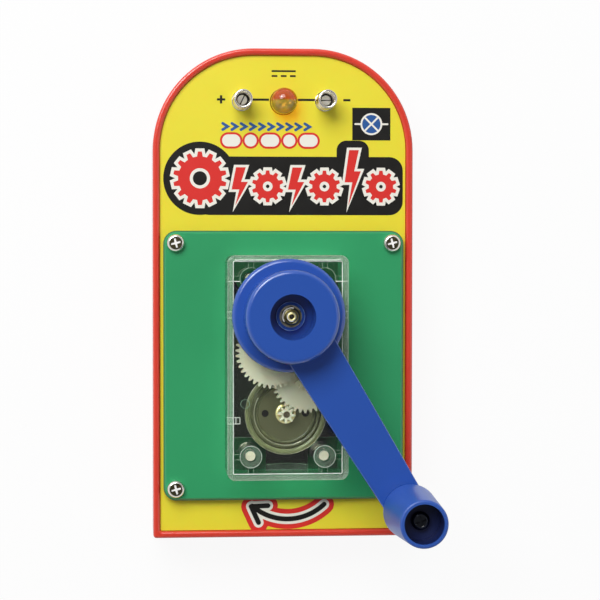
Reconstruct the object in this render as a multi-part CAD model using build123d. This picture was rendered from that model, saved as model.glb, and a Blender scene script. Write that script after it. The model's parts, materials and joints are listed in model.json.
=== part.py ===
from build123d import *
import os
from math import acos, cos, degrees, pi, radians, sin, sqrt, tan

# Hand crank generator lying on its back: +Z out of the printed face, +Y towards the lamp,
# +X to the right, origin at the middle of the flat back. Sizes are in millimetres.

# ---- clearances -------------------------------------------------------------------------
slip = 0.15            # between moulded parts that drop into each other
thread_fit = 0.02      # a thread or press fit in its own hole
running_fit = 0.05     # radial, round a turning shaft
side_play = 0.2        # axial, beside a turning part
body_gap = 0.3         # between parts that move past each other
blind = 0.5            # a blind hole beyond its screw or axle
past = 1.0             # how far a cut runs past the face that it opens

# ---- case -------------------------------------------------------------------------------
board_width = 80.0
board_length = 150.0
case_depth = 16.0            # from the flat back to the printed face
top_corner_radius = 31.0
bottom_corner_radius = 1.0
wall = 2.1
rim_height = 1.2             # rim above the printed face
rim_round = 0.9
deck_thickness = 2.0
card_thickness = 0.4
back_thickness = 2.0
post_radius = 3.1
back_screw_radius = 1.3
back_screw_head_radius = 2.6
back_screw_length = 9.0
back_screw_sink = 0.3        # head below the flat back
back_post_side = 6.5         # post centres in from the side edges
back_post_bottom = 5.5       # post centres up from the bottom edge
back_post_above = 9.5        # middle posts above the green plate's upper screws
back_post_top_side = 22.0    # upper posts out from the centre line
back_post_top_down = 13.0    # and down from the top edge
boss_floor = 0.6             # closed end of a screw boss

# ---- screw heads ------------------------------------------------------------------------
recess_depth = 1.1
recess_reach = 0.62          # arm of the cross, as a share of the head's radius
recess_width = 0.26
recess_turn = 20.0
pan_round = 0.55             # rounding of a pan head, as a share of its height

# ---- green plate ------------------------------------------------------------------------
plate_side_margin = 3.15     # plate edge in from the board's side
plate_bottom_margin = 11.75  # plate edge up from the board's bottom
plate_length = 82.5
plate_thickness = 3.0
plate_corner_radius = 4.0
plate_bevel = 0.8
plate_screw_inset = 3.75
plate_screw_radius = 1.4
plate_screw_head_radius = 2.65
plate_screw_head_height = 1.9
plate_screw_length = 11.0
crank_below_plate_top = 25.35
well_wall = 1.2
well_above_screws = 4.6      # lower edge of the dark well, above the lower gearbox screws
well_below_screws = 0.9      # upper edge, below the upper gearbox screws
well_side_gap = 0.05         # well inside the gearbox's walls
boss_pad_radius = 4.0        # plate left round the upper gearbox screws
slot_left = 5.7              # slot beside the motor, out from its axis
slot_right = 7.2
slot_above_wall = 1.75       # slot above the gearbox's lower wall
ledge_above_edge = 0.8       # ledge above the gearbox's outer edge
ledge_depth = 1.0
shaft_hole_gap = 1.4         # hole in the well's floor, round the motor's boss
terminal_slot_gap = 0.6

# ---- gear train -------------------------------------------------------------------------
gear_module = 0.52
pressure_angle = 20.0
tooth_thinning = 0.05        # off each flank
pinion_shift = 0.2           # outward shift of every small gear's teeth
tip_trim = 0.03
crank_gear_teeth = 36
small_a_teeth = 10
large_a_teeth = 40
small_b_teeth = 10
large_b_teeth = 37
motor_pinion_teeth = 8
small_tip = 0.65             # tip of a small gear beyond its pitch circle
motor_pinion_tip = 0.62
root_depth = 1.25            # in modules
least_undercut = 0.1         # a root this near the base circle starts on it
line_to_a = -112.0           # direction from the crank axis to gear A, degrees
line_to_b = -39.3            # from gear A to gear B
wheel_thickness = 1.8
crank_gear_thickness = 2.0
axle_radius = 0.75
sleeve_wall = 0.85           # spacer on gear B, up to the cover

# ---- motor ------------------------------------------------------------------------------
motor_radius = 11.0
motor_length = 12.3
motor_stand_out = 2.0        # motor face above the gearbox floor
can_thickness = 0.8
can_round = 1.4
motor_boss_radius = 3.1
motor_boss_height = 1.0
motor_disc_radius = 8.3      # raised disc on the can's face
motor_disc_height = 0.25
motor_hole_radius = 0.85
motor_hole_spacing = 12.3
motor_shaft_radius = 1.0
shaft_stand_out = 1.2        # shaft behind the motor
bearing_wall = 1.2
bearing_depth = 1.8          # front bearing inside the can
bearing_stand_out = 0.5      # rear bearing behind the cap
end_cap_thickness = 1.2
end_cap_rim = 1.2            # rim of the cap inside the can
end_cap_rim_wall = 1.0
terminal_spacing = 15.0
terminal_length = 3.8
terminal_width = 2.2
terminal_thickness = 0.5
magnet_thickness = 1.2
magnet_half_angle = 60.0
magnet_end_gap = 0.4
air_gap = 0.7
core_end_room = 2.0          # from the end cap's rim to the core
core_face_room = 2.6         # from the core to the can's inner face
core_hub_radius = 3.0
shoe_thickness = 1.6
shoe_half_angle = 48.0
neck_width = 2.6
winding_half_width = 3.0
winding_build = 1.3          # beyond the core's ends
winding_gap = 0.1
commutator_radius = 2.0
commutator_room = 1.6        # from the core to the commutator
commutator_low = 0.4         # above the cap
brush_width = 0.8
brush_height = 0.7

# ---- gearbox ----------------------------------------------------------------------------
gearbox_wall = 1.75
gearbox_side_gap = 0.65      # gear B to the side wall
gearbox_top_room = 6.3       # crank gear to the upper end wall
gearbox_bottom_room = 5.15   # motor ring to the lower end wall
gearbox_corner_radius = 2.4
gearbox_round = 0.8
gearbox_front = 1.8
gearbox_floor = 1.4
boss_radius = 3.4
boss_from_side = 5.35        # boss centres in from the inner side walls
boss_from_end = 5.25         # boss centres in from the inner end walls
rib_width = 1.6
rib_start = 1.0              # ribs above the gearbox floor
wall_bite = 0.5              # ribs run this far into the walls
gearbox_screw_radius = 1.5
gearbox_screw_head_radius = 2.5
gearbox_screw_head_height = 1.6
gearbox_screw_length = 11.0
motor_ring_thickness = 1.2
motor_lip_thickness = 1.2
motor_lip_radius = 9.3
motor_lip_flare = 0.8
post_wall = 1.05
low_post_wall = 0.75
post_floor = 0.4             # plastic under axle A and under the crank's pivot
axle_b_floor = 0.2           # plastic under axle B, above the motor's rim
axle_socket = 1.0            # axle ends in the cover
snap_width = 1.9
snap_thickness = 2.1
snap_height = 1.2
snap_below_front = 1.0
snap_from_crank = (0.1, -31.5)
peg_radius = 1.35
peg_angle = 166.0
peg_height = 4.6
peg_offset = 0.4             # peg centre outside the motor's ring

# ---- crank ------------------------------------------------------------------------------
crank_shaft_radius = 1.5
crank_pivot_radius = 0.9
pivot_end_gap = 0.2
shoulder_below_gear = 0.1
shaft_past_nut = 0.8
shaft_chamfer = 0.25
shaft_dimple_radius = 0.75
shaft_dimple_depth = 2.0
thrust_boss_radius = 3.4
thrust_boss_height = 0.3
thrust_gap = 0.1
flange_radius = 16.9
flange_thickness = 2.6
arm_thickness = 4.0
drum_radius = 13.65
drum_height = 8.0            # drum above the arm
hub_wall = 1.9
hub_round = 1.3
hub_recess_radius = 6.67
hub_recess_depth = 10.0
hub_boss_radius = 4.25
hub_boss_height = 1.8
crank_radius = 67.8
crank_rest_angle = -58.4
arm_root_width = 16.0
arm_tip_width = 12.1
edge_round = 0.35
washer_radius = 3.3
washer_thickness = 0.5
nut_width = 5.5
nut_height = 2.4
nut_bevel = 0.25             # off each corner at the top
nut_bevel_slope = 0.8

# ---- knob -------------------------------------------------------------------------------
knob_base_radius = 8.2
knob_tip_radius = 6.9
knob_length = 24.2
knob_wall = 1.4
knob_recess_radius = 5.75
knob_recess_depth = 8.0
knob_web = 2.0
knob_sleeve_radius = 3.2
knob_screw_radius = 1.5
knob_screw_head_radius = 2.65
knob_screw_head_height = 2.0
knob_screw_seat_gap = 0.15
knob_tip_round = 0.7
knob_base_round = 0.6
knob_inner_taper = 0.6
knob_boss_radius = 3.6
knob_boss_height = 1.5

# ---- lamp and spring terminals ----------------------------------------------------------
lamp_from_top = 16.2         # lamp centre down from the board's top edge
lamp_radius = 4.0
lamp_flange_radius = 4.7
lamp_flange_height = 1.4
lamp_straight = 5.9          # straight part of the lens above its flange
lead_width = 0.5
lead_spacing = 2.54
lead_drop = 3.2
lead_bend = 1.0
resistor_radius = 0.95
resistor_length = 3.6
terminal_x = 12.8
terminal_from_top = 16.0
spring_wire = 0.7
spring_outer_radius = 2.85
spring_pitch = 1.15
spring_turns = 6.5
stud_flange_radius = 3.1
stud_flange_height = 0.5
stud_collar_height = 2.4
stud_collar_round = 0.9
stud_radius = 1.5
stud_slot = 0.6
stud_slot_depth = 0.9
stud_past_nut = 1.0
lug_thickness = 0.5
lug_ring_radius = 3.2
lug_tail_width = 2.4
lug_tail_length = 3.0
stud_nut_height = 2.0

# ---- leads ------------------------------------------------------------------------------
lead_radius = 0.65
lead_lie = 0.1               # leads above the back cover
solder_overlap = 0.25

# ---- places worked out from the sizes above ---------------------------------------------
face_z = case_depth
rim_z = face_z + rim_height
deck_z = face_z - card_thickness
deck_under = deck_z - deck_thickness
plate_z = face_z + plate_thickness
floor_z = plate_z + gearbox_floor
motor_face = floor_z + motor_stand_out
motor_back = motor_face - motor_length
well_floor = motor_back
well_under = well_floor - well_wall
lip_z = motor_face + motor_lip_thickness
wheel_b_z = lip_z + 3 * body_gap
small_b_z = wheel_b_z + wheel_thickness
wheel_a_z = small_b_z + body_gap
small_a_z = wheel_a_z + wheel_thickness
crank_gear_z = small_a_z + 2 * body_gap
gearbox_front_inside = crank_gear_z + crank_gear_thickness + side_play
gearbox_face = gearbox_front_inside + gearbox_front
crank_back = gearbox_face + thrust_boss_height + thrust_gap
flange_z = crank_back + flange_thickness
arm_z = flange_z + arm_thickness
drum_z = arm_z + drum_height
recess_z = drum_z - hub_recess_depth
hub_boss_z = recess_z + hub_boss_height
nut_z = hub_boss_z + washer_thickness
shaft_end_z = nut_z + nut_height + shaft_past_nut
knob_z = arm_z + body_gap
knob_end_z = knob_z + knob_length
knob_floor_z = knob_end_z - knob_recess_depth


def pitch_radius(teeth):
    return gear_module * teeth / 2


def wheel_tip(teeth):
    return pitch_radius(teeth) + gear_module - tip_trim


def axis_distance(wheel_teeth, small_teeth):
    return pitch_radius(wheel_teeth) + pitch_radius(small_teeth) + pinion_shift


def step_from(start, distance, angle):
    return (start[0] + distance * cos(radians(angle)), start[1] + distance * sin(radians(angle)))


distance_crank_a = axis_distance(crank_gear_teeth, small_a_teeth)
distance_a_b = axis_distance(large_a_teeth, small_b_teeth)
distance_b_motor = axis_distance(large_b_teeth, motor_pinion_teeth)

plate_low = -board_length / 2 + plate_bottom_margin
plate_high = plate_low + plate_length
crank_axis = (0.0, plate_high - crank_below_plate_top)
axis_a = step_from(crank_axis, distance_crank_a, line_to_a)
axis_b = step_from(axis_a, distance_a_b, line_to_b)
line_to_motor = -degrees(acos(-axis_b[0] / distance_b_motor))     # the motor is on the centre line
motor_axis = step_from(axis_b, distance_b_motor, line_to_motor)
knob_axis = step_from(crank_axis, crank_radius, crank_rest_angle)

plate_half = board_width / 2 - plate_side_margin
plate_middle = (plate_low + plate_high) / 2
upper_screws_y = plate_high - plate_screw_inset
plate_screws_at = [(side * (plate_half - plate_screw_inset), y)
                   for side in (-1, 1) for y in (plate_low + plate_screw_inset, upper_screws_y)]

motor_space = motor_radius + 2 * running_fit
motor_ring_radius = motor_space + motor_ring_thickness
gearbox_half = axis_b[0] + wheel_tip(large_b_teeth) + gearbox_side_gap
gearbox_top = crank_axis[1] + wheel_tip(crank_gear_teeth) + gearbox_top_room
gearbox_bottom = motor_axis[1] - motor_ring_radius - gearbox_bottom_room
boss_x = gearbox_half - boss_from_side
upper_boss_y, lower_boss_y = gearbox_top - boss_from_end, gearbox_bottom + boss_from_end
bosses_at = [(side * boss_x, y) for side in (-1, 1) for y in (upper_boss_y, lower_boss_y)]
snap_top = gearbox_front_inside - snap_below_front
snaps_at = [crank_axis[1] + y for y in snap_from_crank]

well_half = gearbox_half - well_side_gap
well_top = upper_boss_y - well_below_screws
well_bottom = lower_boss_y + well_above_screws
slot_bottom = gearbox_bottom + slot_above_wall
ledge_bottom = gearbox_bottom - gearbox_wall + ledge_above_edge
opening_half = well_half + well_wall + body_gap
opening_top = upper_boss_y + gearbox_screw_head_radius + 2 * body_gap
opening_bottom = slot_bottom - well_wall - body_gap

back_screws_at = [(side * (board_width / 2 - back_post_side), y) for side in (-1, 1)
                  for y in (-board_length / 2 + back_post_bottom, upper_screws_y + back_post_above)]
back_screws_at += [(side * back_post_top_side, board_length / 2 - back_post_top_down) for side in (-1, 1)]
lamp_at = (0.0, board_length / 2 - lamp_from_top)
terminals_at = [(side * terminal_x, board_length / 2 - terminal_from_top) for side in (-1, 1)]

bearing_radius = motor_shaft_radius + bearing_wall
can_bore = motor_radius - can_thickness
cap_top = motor_back + end_cap_thickness
core_low = cap_top + end_cap_rim + core_end_room
core_high = motor_face - can_thickness - core_face_room
core_radius = can_bore - thread_fit - magnet_thickness - air_gap
pinion_low = motor_face + motor_boss_height + 2 * side_play
pinion_top = small_b_z + 2 * body_gap

lug_z = deck_under - lug_thickness
stud_end = lug_z - stud_nut_height - stud_past_nut
lamp_low = deck_under - lamp_flange_height
lamp_top = deck_under + lamp_straight
solder_z = lamp_low - lead_drop
lead_end_x = terminal_x - lug_ring_radius - lug_tail_length / 2
coil_radius = spring_outer_radius - spring_wire / 2
spring_low = face_z + stud_flange_height + spring_wire / 2
collar_radius = coil_radius - spring_wire / 2 - 2 * running_fit


# ---- small shapes used over and over ----------------------------------------------------
def rod(place, low, high, radius):
    return Pos(place[0], place[1], (low + high) / 2) * Cylinder(radius, high - low)


def tube(place, low, high, radius, bore):
    return rod(place, low, high, radius) - rod(place, low - past, high + past, bore)


def taper(place, low, high, low_radius, high_radius):
    return Pos(place[0], place[1], (low + high) / 2) * Cone(low_radius, high_radius, high - low)


def block(x, y, z):
    size = (x[1] - x[0], y[1] - y[0], z[1] - z[0])
    return Pos(sum(x) / 2, sum(y) / 2, sum(z) / 2) * Box(*size)


def plate(sketch, low, high):
    return extrude(Pos(0, 0, low) * sketch, high - low)


def hexagon(place, low, high, width, turn=90):
    corner = width / sqrt(3)
    return plate(Pos(*place) * RegularPolygon(corner, 6, rotation=turn), low, high)


def cross_recess(place, top, radius, towards=-1):
    # a cross cut into a screw head from its outer face
    arm, width = radius * recess_reach, radius * recess_width
    z = sorted((top - towards * thread_fit, top + towards * recess_depth))
    bars = block((-arm, arm), (-width / 2, width / 2), z) + block((-width / 2, width / 2), (-arm, arm), z)
    return Pos(place[0], place[1], 0) * (Rot(0, 0, recess_turn) * bars)


def pan_screw(place, seat, radius, length, head_radius, head_height):
    # head above the seat, shank below it
    head = rod(place, seat, seat + head_height, head_radius)
    head = fillet(head.edges().group_by(Axis.Z)[-1], head_height * pan_round)
    shank = rod(place, seat - length, seat, radius)
    return head + shank - cross_recess(place, seat + head_height, head_radius)


def pan_screw_from_below(place, seat, radius, length, head_radius, head_height):
    screw = pan_screw((0, 0), 0, radius, length, head_radius, head_height)
    return Pos(place[0], place[1], seat) * (Rot(180, 0, 0) * screw)


def group(solids):
    return Compound(children=[s for piece in solids for s in piece.solids()])


# ---- gears ------------------------------------------------------------------------------
def involute(angle):
    return tan(angle) - angle


def polar(radius, angle):
    return (radius * cos(angle), radius * sin(angle))


def gear_outline(teeth, shift, tip_radius, tooth_at):
    # one tooth's middle lies at the angle tooth_at, in degrees
    pitch = pitch_radius(teeth)
    base = pitch * cos(radians(pressure_angle))
    root = pitch + shift - root_depth * gear_module
    start = max(root, base)
    if start - root < least_undercut:
        root = start
    half_tooth = pi / (2 * teeth) + shift * tan(radians(pressure_angle)) / pitch
    half_tooth += involute(radians(pressure_angle))

    def flank_angle(radius):
        return half_tooth - involute(acos(min(1.0, base / radius))) - tooth_thinning / radius

    middle = (start + tip_radius) / 2
    step = 2 * pi / teeth
    edges = []
    for number in range(teeth):
        centre = radians(tooth_at) + number * step
        low_left = polar(start, centre + flank_angle(start))
        low_right = polar(start, centre - flank_angle(start))
        tip_left = polar(tip_radius, centre + flank_angle(tip_radius))
        tip_right = polar(tip_radius, centre - flank_angle(tip_radius))
        next_right = centre + step - flank_angle(start)
        foot_right, foot_left = low_right, low_left
        if root < start:
            foot_right = polar(root, centre - flank_angle(start))
            foot_left = polar(root, centre + flank_angle(start))
            edges.append(Line(foot_right, low_right))
        edges.append(ThreePointArc(low_right, polar(middle, centre - flank_angle(middle)), tip_right))
        edges.append(ThreePointArc(tip_right, polar(tip_radius, centre), tip_left))
        edges.append(ThreePointArc(tip_left, polar(middle, centre + flank_angle(middle)), low_left))
        if root < start:
            edges.append(Line(low_left, foot_left))
        edges.append(ThreePointArc(foot_left, polar(root, centre + step / 2), polar(root, next_right)))
    return make_face(Wire(edges))


def toothed(place, low, high, outline):
    return plate(Pos(*place) * outline, low, high)


def wheel_outline(teeth, towards):
    return gear_outline(teeth, 0, wheel_tip(teeth), towards)


def small_outline(teeth, tip, towards):
    # a gap, not a tooth, faces the wheel that drives it
    return gear_outline(teeth, pinion_shift, pitch_radius(teeth) + tip, towards + 180 / teeth)


# ---- case pieces ------------------------------------------------------------------------
def board_outline(inset):
    outline = Rectangle(board_width - 2 * inset, board_length - 2 * inset)
    corners = outline.vertices().sort_by(Axis.Y)
    outline = fillet(corners[-2:], top_corner_radius - inset)
    corners = outline.vertices().sort_by(Axis.Y)
    return fillet(corners[:2], max(bottom_corner_radius - inset, bottom_corner_radius / 2))


def deck_window(grow):
    middle = (opening_top + opening_bottom) / 2
    size = (2 * (opening_half + grow), opening_top - opening_bottom + 2 * grow)
    return Pos(0, middle) * Rectangle(*size)


def base_tray():
    tray = plate(board_outline(0), 0, rim_z)
    tray -= plate(board_outline(wall), deck_z, rim_z + past)
    tray -= plate(board_outline(wall), -past, deck_under)
    tray = fillet(tray.edges().group_by(Axis.Z)[-1], rim_round)
    tray -= plate(deck_window(0), deck_under - past, deck_z + past)
    for place in back_screws_at:
        tray += rod(place, back_thickness, deck_under, post_radius)
    hole_low = plate_z - plate_screw_length - blind
    for place in plate_screws_at:
        tray += rod(place, hole_low - boss_floor, deck_under, post_radius)
    for place in back_screws_at:
        screw_top = back_screw_sink + back_screw_length
        tray -= rod(place, 0, screw_top + blind, back_screw_radius + thread_fit)
    for place in plate_screws_at:
        tray -= rod(place, hole_low, deck_z + past, plate_screw_radius + thread_fit)
    tray -= rod(lamp_at, deck_under - past, deck_z + past, lamp_radius + slip)
    for place in terminals_at:
        tray -= rod(place, deck_under - past, deck_z + past, stud_radius + slip)
    return tray


def face_card():
    card = plate(board_outline(wall + slip), deck_z, face_z)
    card -= plate(deck_window(slip), deck_z - past, face_z + past)
    for place in plate_screws_at:
        card -= rod(place, deck_z - past, face_z + past, plate_screw_radius + slip)
    card -= rod(lamp_at, deck_z - past, face_z + past, lamp_radius + slip)
    for place in terminals_at:
        card -= rod(place, deck_z - past, face_z + past, stud_radius + slip)
    return card


def sunk_head(place, grow):
    cone_height = back_screw_head_radius - back_screw_radius
    wide, narrow = back_screw_head_radius + grow, back_screw_radius + grow
    return taper(place, back_screw_sink, back_screw_sink + cone_height, wide, narrow)


def back_cover():
    cover = plate(board_outline(wall + slip), 0, back_thickness)
    for place in back_screws_at:
        cover -= sunk_head(place, slip)
        cover -= rod(place, -past, back_screw_sink, back_screw_head_radius + slip)
        cover -= rod(place, 0, back_thickness + past, back_screw_radius + slip)
    return cover


def back_cover_screw(place):
    screw = sunk_head(place, 0)
    shank_from = back_screw_sink + back_screw_radius / 2
    screw += rod(place, shank_from, back_screw_sink + back_screw_length, back_screw_radius)
    return screw - cross_recess(place, back_screw_sink, back_screw_head_radius, towards=1)


# ---- green plate ------------------------------------------------------------------------
def well_area(grow):
    middle, height = (well_top + well_bottom) / 2, well_top - well_bottom + 2 * grow
    area = Pos(0, middle) * Rectangle(2 * (well_half + grow), height)
    for place in bosses_at:
        if place[1] > middle:
            area -= Pos(*place) * Circle(boss_pad_radius - grow)
    area += Pos(*motor_axis) * Circle(motor_space + 2 * slip + grow)
    slot_low, slot_high = slot_bottom - grow, motor_axis[1]
    slot = Rectangle(slot_right + slot_left + 2 * grow, slot_high - slot_low)
    return area + Pos(motor_axis[0] + (slot_right - slot_left) / 2, (slot_low + slot_high) / 2) * slot


def green_plate():
    outline = RectangleRounded(2 * plate_half, plate_length, plate_corner_radius)
    slab = plate(Pos(0, plate_middle) * outline, face_z, plate_z)
    slab = chamfer(slab.edges().group_by(Axis.Z)[-1], plate_bevel)
    slab += plate(well_area(well_wall), well_under, face_z)
    slab -= plate(well_area(0), well_floor, plate_z + past)
    slab -= block((motor_axis[0] - slot_left, motor_axis[0] + slot_right), (ledge_bottom, slot_bottom + past),
                  (plate_z - ledge_depth, plate_z + past))
    through = (well_under - past, well_floor + past)
    slab -= rod(motor_axis, *through, motor_boss_radius + shaft_hole_gap)
    half_x, half_y = terminal_width / 2 + terminal_slot_gap, terminal_thickness / 2 + terminal_slot_gap
    for side in (-1, 1):
        x = motor_axis[0] + side * terminal_spacing / 2
        slab -= block((x - half_x, x + half_x), (motor_axis[1] - half_y, motor_axis[1] + half_y), through)
    for place in plate_screws_at:
        slab -= rod(place, face_z - past, plate_z + past, plate_screw_radius + slip)
    for place in bosses_at:
        slab -= rod(place, face_z - past, plate_z + past, gearbox_screw_radius + slip)
    return slab


# ---- gearbox ----------------------------------------------------------------------------
def snap_tab(side, y):
    # an arm inside the wall whose hook catches in the wall's window
    base_half = gearbox_half - slip
    inner = base_half - snap_thickness
    hook_end = gearbox_half + gearbox_wall - slip
    across = (y - snap_width / 2, y + snap_width / 2)
    tab = block(sorted((side * inner, side * base_half)), across, (plate_z, snap_top))
    return tab + block(sorted((side * inner, side * hook_end)), across, (snap_top - snap_height, snap_top))


def gearbox_base():
    half, low, high = gearbox_half - slip, gearbox_bottom + slip, gearbox_top - slip
    base = block((-half, half), (low, high), (plate_z, floor_z))
    base += rod(motor_axis, plate_z, lip_z, motor_ring_radius)
    peg = step_from(motor_axis, motor_ring_radius + peg_offset, peg_angle)
    base += rod(peg, plate_z, floor_z + peg_height, peg_radius)
    base += rod(crank_axis, plate_z, wheel_a_z - body_gap, crank_pivot_radius + running_fit + post_wall)
    base += rod(axis_a, plate_z, wheel_a_z - body_gap, axle_radius + post_wall)
    base += rod(axis_b, plate_z, wheel_b_z - body_gap, axle_radius + low_post_wall)
    for side in (-1, 1):
        for y in snaps_at:
            base += snap_tab(side, y)
    base -= rod(motor_axis, plate_z - past, motor_face, motor_space)
    base -= taper(motor_axis, motor_face - thread_fit, lip_z + thread_fit,
                  motor_lip_radius, motor_lip_radius + motor_lip_flare)
    base -= rod(crank_axis, floor_z + post_floor, wheel_a_z, crank_pivot_radius + running_fit)
    base -= rod(axis_a, plate_z + post_floor, wheel_a_z, axle_radius + thread_fit)
    base -= rod(axis_b, motor_face + axle_b_floor, wheel_b_z, axle_radius + thread_fit)
    for place in bosses_at:
        base -= rod(place, plate_z - past, floor_z + past, gearbox_screw_radius + slip)
    return base


def boss_with_ribs(place):
    low, high = floor_z + thread_fit, gearbox_front_inside + wall_bite
    side_wall = (gearbox_half + wall_bite) * (1 if place[0] > 0 else -1)
    end_wall = gearbox_top + wall_bite if place[1] == upper_boss_y else gearbox_bottom - wall_bite
    half = rib_width / 2
    ribs_z = (floor_z + rib_start, high)
    boss = rod(place, low, high, boss_radius)
    boss += block(sorted((place[0], side_wall)), (place[1] - half, place[1] + half), ribs_z)
    boss += block((place[0] - half, place[0] + half), sorted((place[1], end_wall)), ribs_z)
    return boss


def gearbox_cover():
    outer_half = gearbox_half + gearbox_wall
    low, high = gearbox_bottom - gearbox_wall, gearbox_top + gearbox_wall
    outline = Pos(0, (low + high) / 2) * RectangleRounded(2 * outer_half, high - low, gearbox_corner_radius)
    cover = plate(outline, plate_z, gearbox_face)
    cover = fillet(cover.edges().group_by(Axis.Z)[-1], gearbox_round)
    cover -= block((-gearbox_half, gearbox_half), (gearbox_bottom, gearbox_top),
                   (plate_z - past, gearbox_front_inside))
    for place in bosses_at:
        cover += boss_with_ribs(place)
    for place in bosses_at:
        screw_top = face_z + gearbox_screw_length
        cover -= rod(place, plate_z, screw_top + blind, gearbox_screw_radius + thread_fit)
    cover += rod(crank_axis, gearbox_face, gearbox_face + thrust_boss_height, thrust_boss_radius)
    cover -= rod(crank_axis, plate_z, gearbox_face + past, crank_shaft_radius + running_fit)
    for axis in (axis_a, axis_b):
        cover -= rod(axis, plate_z, gearbox_front_inside + axle_socket + side_play, axle_radius + thread_fit)
    window = (snap_top - snap_height - slip, snap_top + slip)
    for y in snaps_at:
        across = (y - snap_width / 2 - slip, y + snap_width / 2 + slip)
        for side in (-1, 1):
            through = sorted((side * (gearbox_half - thread_fit), side * (outer_half + past)))
            cover -= block(through, across, window)
    return cover


# ---- gears and their axles --------------------------------------------------------------
def crank_gear():
    wheel = toothed(crank_axis, crank_gear_z, crank_gear_z + crank_gear_thickness,
                    wheel_outline(crank_gear_teeth, line_to_a))
    return wheel - rod(crank_axis, 0, gearbox_face, crank_shaft_radius + thread_fit)


def idler_gear_a():
    gear = toothed(axis_a, wheel_a_z, small_a_z, wheel_outline(large_a_teeth, line_to_b))
    gear += toothed(axis_a, small_a_z, gearbox_front_inside - side_play,
                    small_outline(small_a_teeth, small_tip, line_to_a + 180))
    return gear - rod(axis_a, 0, gearbox_face, axle_radius + running_fit)


def idler_gear_b():
    gear = toothed(axis_b, wheel_b_z, small_b_z, wheel_outline(large_b_teeth, line_to_motor))
    gear += toothed(axis_b, small_b_z, small_a_z + body_gap,
                    small_outline(small_b_teeth, small_tip, line_to_b + 180))
    gear += rod(axis_b, small_b_z, gearbox_front_inside - side_play, axle_radius + sleeve_wall)
    return gear - rod(axis_b, 0, gearbox_face, axle_radius + running_fit)


def gear_axle(axis, low):
    return rod(axis, low, gearbox_front_inside + axle_socket, axle_radius)


# ---- motor ------------------------------------------------------------------------------
def on_motor(turn, piece):
    return Pos(motor_axis[0], motor_axis[1], 0) * (Rot(0, 0, turn) * piece)


def sector(radius, half_angle):
    half = radians(half_angle)
    return make_face(Polyline((0, 0), polar(radius, -half), polar(radius, half), close=True))


def motor_can():
    can = rod(motor_axis, cap_top, motor_face, motor_radius)
    can = fillet(can.edges().group_by(Axis.Z)[-1], can_round)
    can += rod(motor_axis, motor_face - can_thickness, motor_face + motor_disc_height, motor_disc_radius)
    can -= rod(motor_axis, 0, motor_face - can_thickness, can_bore)
    can += rod(motor_axis, motor_face - can_thickness, motor_face + motor_boss_height, motor_boss_radius)
    for side in (-1, 1):
        hole = (motor_axis[0] + side * motor_hole_spacing / 2, motor_axis[1])
        can -= rod(hole, 0, motor_face + past, motor_hole_radius)
    return can - rod(motor_axis, 0, motor_face + motor_boss_height + past, bearing_radius + thread_fit)


def motor_bearing(low, high):
    return tube(motor_axis, low, high, bearing_radius, motor_shaft_radius + running_fit)


def motor_end_cap():
    cap = rod(motor_axis, motor_back, cap_top, motor_radius - thread_fit)
    rim_outside = can_bore - thread_fit
    cap += tube(motor_axis, motor_back, cap_top + end_cap_rim, rim_outside, can_bore - end_cap_rim_wall)
    return cap - rod(motor_axis, motor_back - past, cap_top + past, bearing_radius + thread_fit)


def motor_magnet(turn):
    outer = can_bore - thread_fit
    arc = (Circle(outer) - Circle(outer - magnet_thickness)) & sector(2 * outer, magnet_half_angle)
    low = cap_top + end_cap_rim + magnet_end_gap
    return on_motor(turn, plate(arc, low, motor_face - can_thickness - magnet_end_gap))


def motor_terminal(side):
    x = motor_axis[0] + side * terminal_spacing / 2
    half_x, half_y = terminal_width / 2, terminal_thickness / 2
    return block((x - half_x, x + half_x), (motor_axis[1] - half_y, motor_axis[1] + half_y),
                 (motor_back - terminal_length, motor_back))


def armature_core():
    core = Circle(core_hub_radius)
    shoe = Circle(core_radius) - Circle(core_radius - shoe_thickness)
    shoe &= sector(2 * core_radius, shoe_half_angle)
    neck = core_radius - shoe_thickness / 2
    for number in range(3):
        turn = Rot(0, 0, 120 * number)
        core += turn * (Pos(neck / 2, 0) * Rectangle(neck, neck_width))
        core += turn * shoe
    core -= Circle(motor_shaft_radius + thread_fit)
    return on_motor(0, plate(core, core_low, core_high))


def armature_winding(number):
    half = winding_half_width
    inner = core_hub_radius + winding_gap
    outer = sqrt((core_radius - shoe_thickness) ** 2 - half ** 2) - winding_gap
    coil = block((inner, outer), (-half, half), (core_low - winding_build, core_high + winding_build))
    hole_half = neck_width / 2 + thread_fit
    coil -= block((0, 2 * outer), (-hole_half, hole_half), (core_low - thread_fit, core_high + thread_fit))
    return on_motor(120 * number, coil)


def commutator():
    return tube(motor_axis, cap_top + commutator_low, core_low - commutator_room, commutator_radius,
                motor_shaft_radius + thread_fit)


def motor_brush(side):
    # a leaf that bears on the commutator and ends at the cap's rim
    x = (commutator_radius + running_fit, can_bore - end_cap_rim_wall)
    brush = block(x, (-brush_width / 2, brush_width / 2), (cap_top, cap_top + brush_height))
    return on_motor(90 - 90 * side, brush)


def motor_shaft():
    return rod(motor_axis, motor_back - shaft_stand_out, pinion_top, motor_shaft_radius)


def motor_pinion():
    pinion = toothed(motor_axis, pinion_low, pinion_top,
                     small_outline(motor_pinion_teeth, motor_pinion_tip, line_to_motor + 180))
    return pinion - rod(motor_axis, 0, gearbox_face, motor_shaft_radius + thread_fit)


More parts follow.
